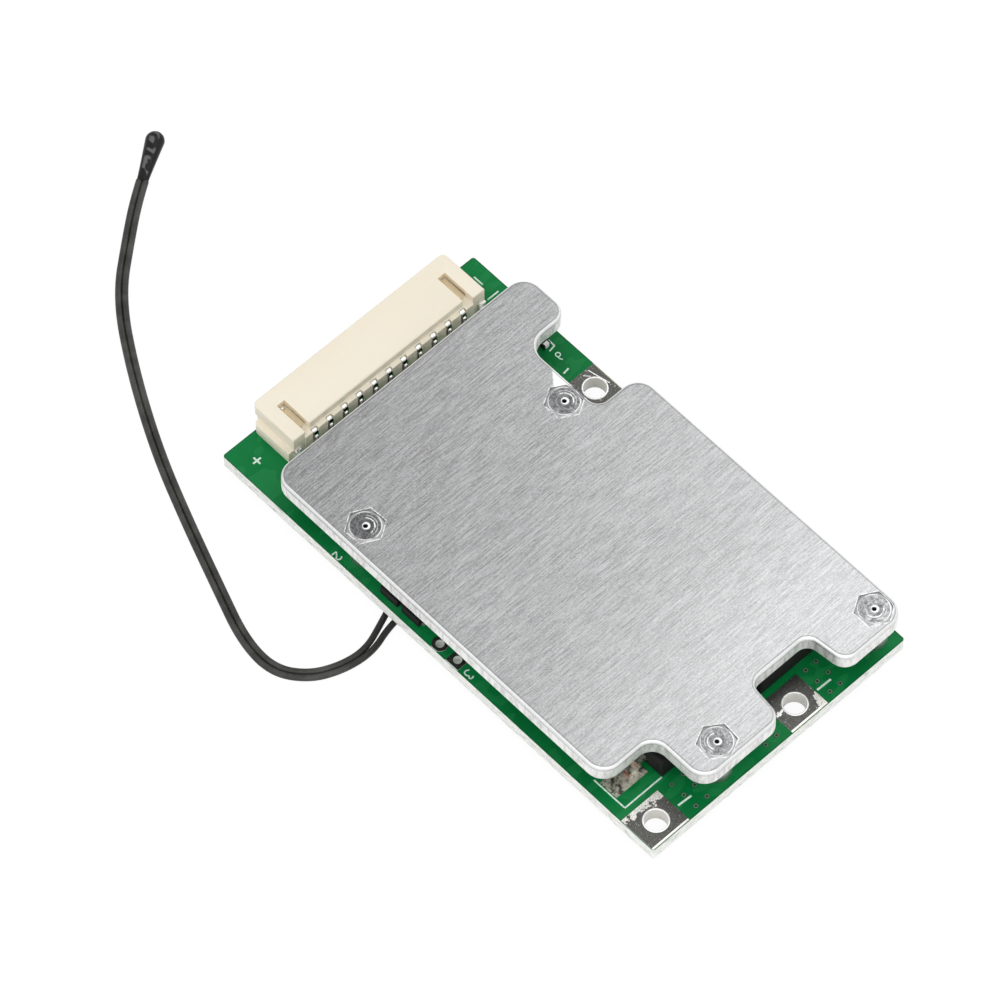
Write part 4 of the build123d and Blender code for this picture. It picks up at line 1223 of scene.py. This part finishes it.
def pin_tin_lit_and_shaded():
    """Painted highlights along the top, on the swelling below the bend and again at the foot,
    painted shade at the bend, and painted light on the sides that face along x."""
    f = Finish("pin_tin_lit_and_shaded", Metallic=1.0)
    z = f.axes()[2]
    fine = f.noise(8, 2, 0.6)
    # Painted highlights on the top, on the swelling and at the foot, and painted shade at the bend
    # between.
    bright = z.step(4.88, 4.93).most(z.step(4.42, 4.46) * (1 - z.step(4.68, 4.72)))
    bright = bright.most(1 - z.step(3.5, 3.7))
    # Painted light on the sides that face along x.
    lit_sides = abs(f.facing("X")).step(0.6, 0.8) * 0.7
    tone = f.mix(bright.most(lit_sides), (0.05, 0.05, 0.048), (0.93, 0.925, 0.9))
    return f.set((fine * 0.01, 0.6), Base_Color=tone, Roughness=0.2 + fine * 0.1)


def capacitor_ends():
    """A white tinned middle inside a frame of black painted shadow."""
    f = Finish("capacitor_ends", Roughness=0.35, Specular_IOR_Level=0.3)
    x, y, z = f.axes((14.95, 17.32, 3.2))
    # A frame of black painted shadow round the tinned middle.
    border = abs(x * 2.35).most(abs(y * 2.6)).step(0.58, 0.68)
    fine = f.noise(9, 2, 0.6)
    return f.set((fine * 0.02, 0.6), Base_Color=f.mix(border, (0.92, 0.91, 0.9), 0.008))


pins = pin_tin_lit_and_shaded()
by_name.update({name: pins for name in nodes if name.startswith("contact_")})
by_name["chip_capacitor_ends"] = capacitor_ends()
print("finishes by name:", len(by_name))

# %% [markdown]
# ## Black mouldings
# The power transistors are matt black epoxy with fine grain, and so, a little lighter or darker,
# are the small chips. The ceramic chip capacitor is painted black as well: painted shadow, for it
# lies in the shade of the plate. A flat black would lose their shape, so the grain lightens and
# roughens it.

# %% Black mouldings


def black_mould(name, tone, grain):
    """The tone is drawn by noise towards a colour of 2.2 times its strength."""
    f = Finish(name, Specular_IOR_Level=0.22)
    fine = f.noise(grain, 4, 0.65)
    broad = f.noise(0.4, 2, 0.5)
    light = tuple(c * 2.2 + 0.006 for c in tone)
    return f.set((fine * 0.03, 0.6), Base_Color=f.mix(fine * 0.6 + broad * 0.3, tone, light),
                 Roughness=0.5 + fine * 0.2)


# The ceramic chips are painted near black: painted shadow, as they lie in the shade of the plate.
MOULDINGS = {
    "black_moulding": ((0.004, 0.004, 0.0042), 6), "resistor_black": ((0.010, 0.010, 0.011), 9),
    "capacitor_ceramic": ((0.006, 0.006, 0.006), 8), "grey_silicone": ((0.22, 0.23, 0.25), 4),
}
by_slot.update({slot: black_mould(slot, *values) for slot, values in MOULDINGS.items()})
print("finishes by slot:", len(by_slot))

# %% [markdown]
# ## Handing the finishes out
# Every solid part that still shows takes the finish made for its name, or else the one for its
# slot. The softened copies have meshes of their own, so the black ones are painted as well.

# %% Finishes by name and slot
for name, node in nodes.items():
    finish = by_name.get(name) or by_slot.get(slot_of[name])
    if finish is not None:
        paint(finish, node)
for name, piece in soft.items():
    if name != "connector_housing":
        paint(by_slot["black_moulding"], piece)
print("parts:", len(nodes), "softened copies:", len(soft))

# %% [markdown]
# ## Wire insulation and epoxy
# The lead's sleeve is soft black plastic, charcoal where it catches the light. The drop is a thick
# coat of black epoxy. In a bright room a glossy black drop mirrors the whole room, so its shine is
# held low and a few blurred reflections along its top are part of its colour.

# %% Wire and drop finish


def insulation():
    """Charcoal with faint rubbed patches, and painted shade where the lead comes out from under the
    board, by one ramp along x and one along y."""
    f = Finish("wire_black", Specular_IOR_Level=0.3)
    x, y, z = f.axes()
    # Painted shade: darker where the lead comes out from under the board.
    near = (x + 25).ramp(0, 7) * (1 - y.ramp(8, 16))
    rub = f.noise(0.5, 3, 0.6)
    fine = f.noise(8, 2, 0.5)
    tone = f.mix(rub.step(0.3, 0.75), (0.027, 0.0265, 0.025), (0.068, 0.067, 0.063))
    return f.set((fine * 0.008, 0.5), Base_Color=f.mix(near * 0.7, tone, 0.008),
                 Roughness=0.34 + fine * 0.12 + rub * 0.1)


def epoxy():
    """Black. Along its top it holds a few blurred, drawn-out reflections: patches of a noise where
    the surface looks up."""
    f = Finish("bead_epoxy", Specular_IOR_Level=0.12)
    slow = f.noise(0.6, 2, 0.5)
    patch = f.noise((1.7, 0.8, 1.7), 0, 0.5, (-29, 60, 0), -20)
    shine = f.facing().step(0.78, 0.93) * patch.step(0.53, 0.63)
    tone = f.mix(slow, (0.008, 0.008, 0.0075), (0.02, 0.02, 0.019))
    return f.set((slow * 0.10, 0.5), Base_Color=f.mix(shine, tone, (0.13, 0.13, 0.135)),
                 Roughness=0.16 + slow * 0.1)


paint(insulation(), inner_wire, outer_wire)
paint(epoxy(), bead)
print("finished:", inner_wire.name, outer_wire.name, bead.name)

# %% [markdown]
# ## Floor, sky and lamps
# The board lies on a white sweep. The floor glows only for the camera, for mirrors and through
# glass, so that it stays white while it still takes the object's soft shadow. An even sky and four
# square lamps light the object. The plate is nearly a mirror, so the strongest lamp is wide and
# stands off to one side, where even its own reflection stays below white.

# %% Studio
WHITE_SHARE = 0.92
FLOOR_GLOW = 1.03
SKY_LEVEL = 0.62


def white_floor():
    """Mostly plain white to the camera, and a share of real shading that holds the shadow."""
    f = Finish("white_floor", Roughness=0.9, Base_Color=(0.9, 0.9, 0.9, 1))
    glow = f.node("ShaderNodeEmission", {}, {
        "Color": (1, 1, 1, 1), "Strength": FLOOR_GLOW})
    both = f.node("ShaderNodeMixShader", {}, {0: f.seen() * WHITE_SHARE, 1: f.surface, 2: glow})
    f.tree.links.new(both.socket, f.tree.nodes["Material Output"].inputs["Surface"])
    return f.material


def floor_sheet(reach=3.0, steps=9):
    """A level sheet at height zero, a grid of squares."""
    side = np.linspace(-reach, reach, steps)
    x, y = np.meshgrid(side, side)
    points = np.stack([x, y, x * 0], -1).reshape(-1, 3)
    mesh = bpy.data.meshes.new("floor")
    mesh.from_pydata(points.tolist(), [], grid_faces(steps, steps, closed=False).tolist())
    return linked("floor", mesh)


def studio_world():
    """Even light, and plain white at 1 for the camera, mirrors and glass."""
    world = bpy.data.worlds.new("studio")
    sky = Nodes(world)
    level = sky.node("ShaderNodeMapRange", {}, {
        "Value": sky.seen(), "To Min": SKY_LEVEL, "To Max": 1.0})
    light = sky.node("ShaderNodeBackground", {}, {"Color": (1, 1, 1, 1), "Strength": level})
    sky.node("ShaderNodeOutputWorld", {}, {"Surface": light})
    return world


floor = floor_sheet()
paint(white_floor(), floor)
bpy.context.scene.world = studio_world()
bpy.context.scene.view_settings.view_transform = "Standard"

# %% Lamps
LAMPS = {
    "key": ((0.26, 0.0, 0.30), 0.30, 0.25), "front": ((-0.26, -0.30, 0.55), 0.80, 1.95),
    "fill": ((-0.5, 0.15, 0.55), 0.5, 0.3), "spark": ((-0.32, 0.42, 0.6), 0.07, 0.22),
}
for name, (at, size, watts) in LAMPS.items():
    glow = bpy.data.lights.new(name, "AREA")
    glow.shape = "SQUARE"
    glow.size = size
    glow.energy = watts
    aim(linked(name, glow), Vector(at), Vector((0, 0, 0)))
print("lamps:", len(LAMPS))

# %% [markdown]
# ## Bringing the scene up to date
# The view layer is updated once more.

# %% Finish
bpy.context.view_layer.update()
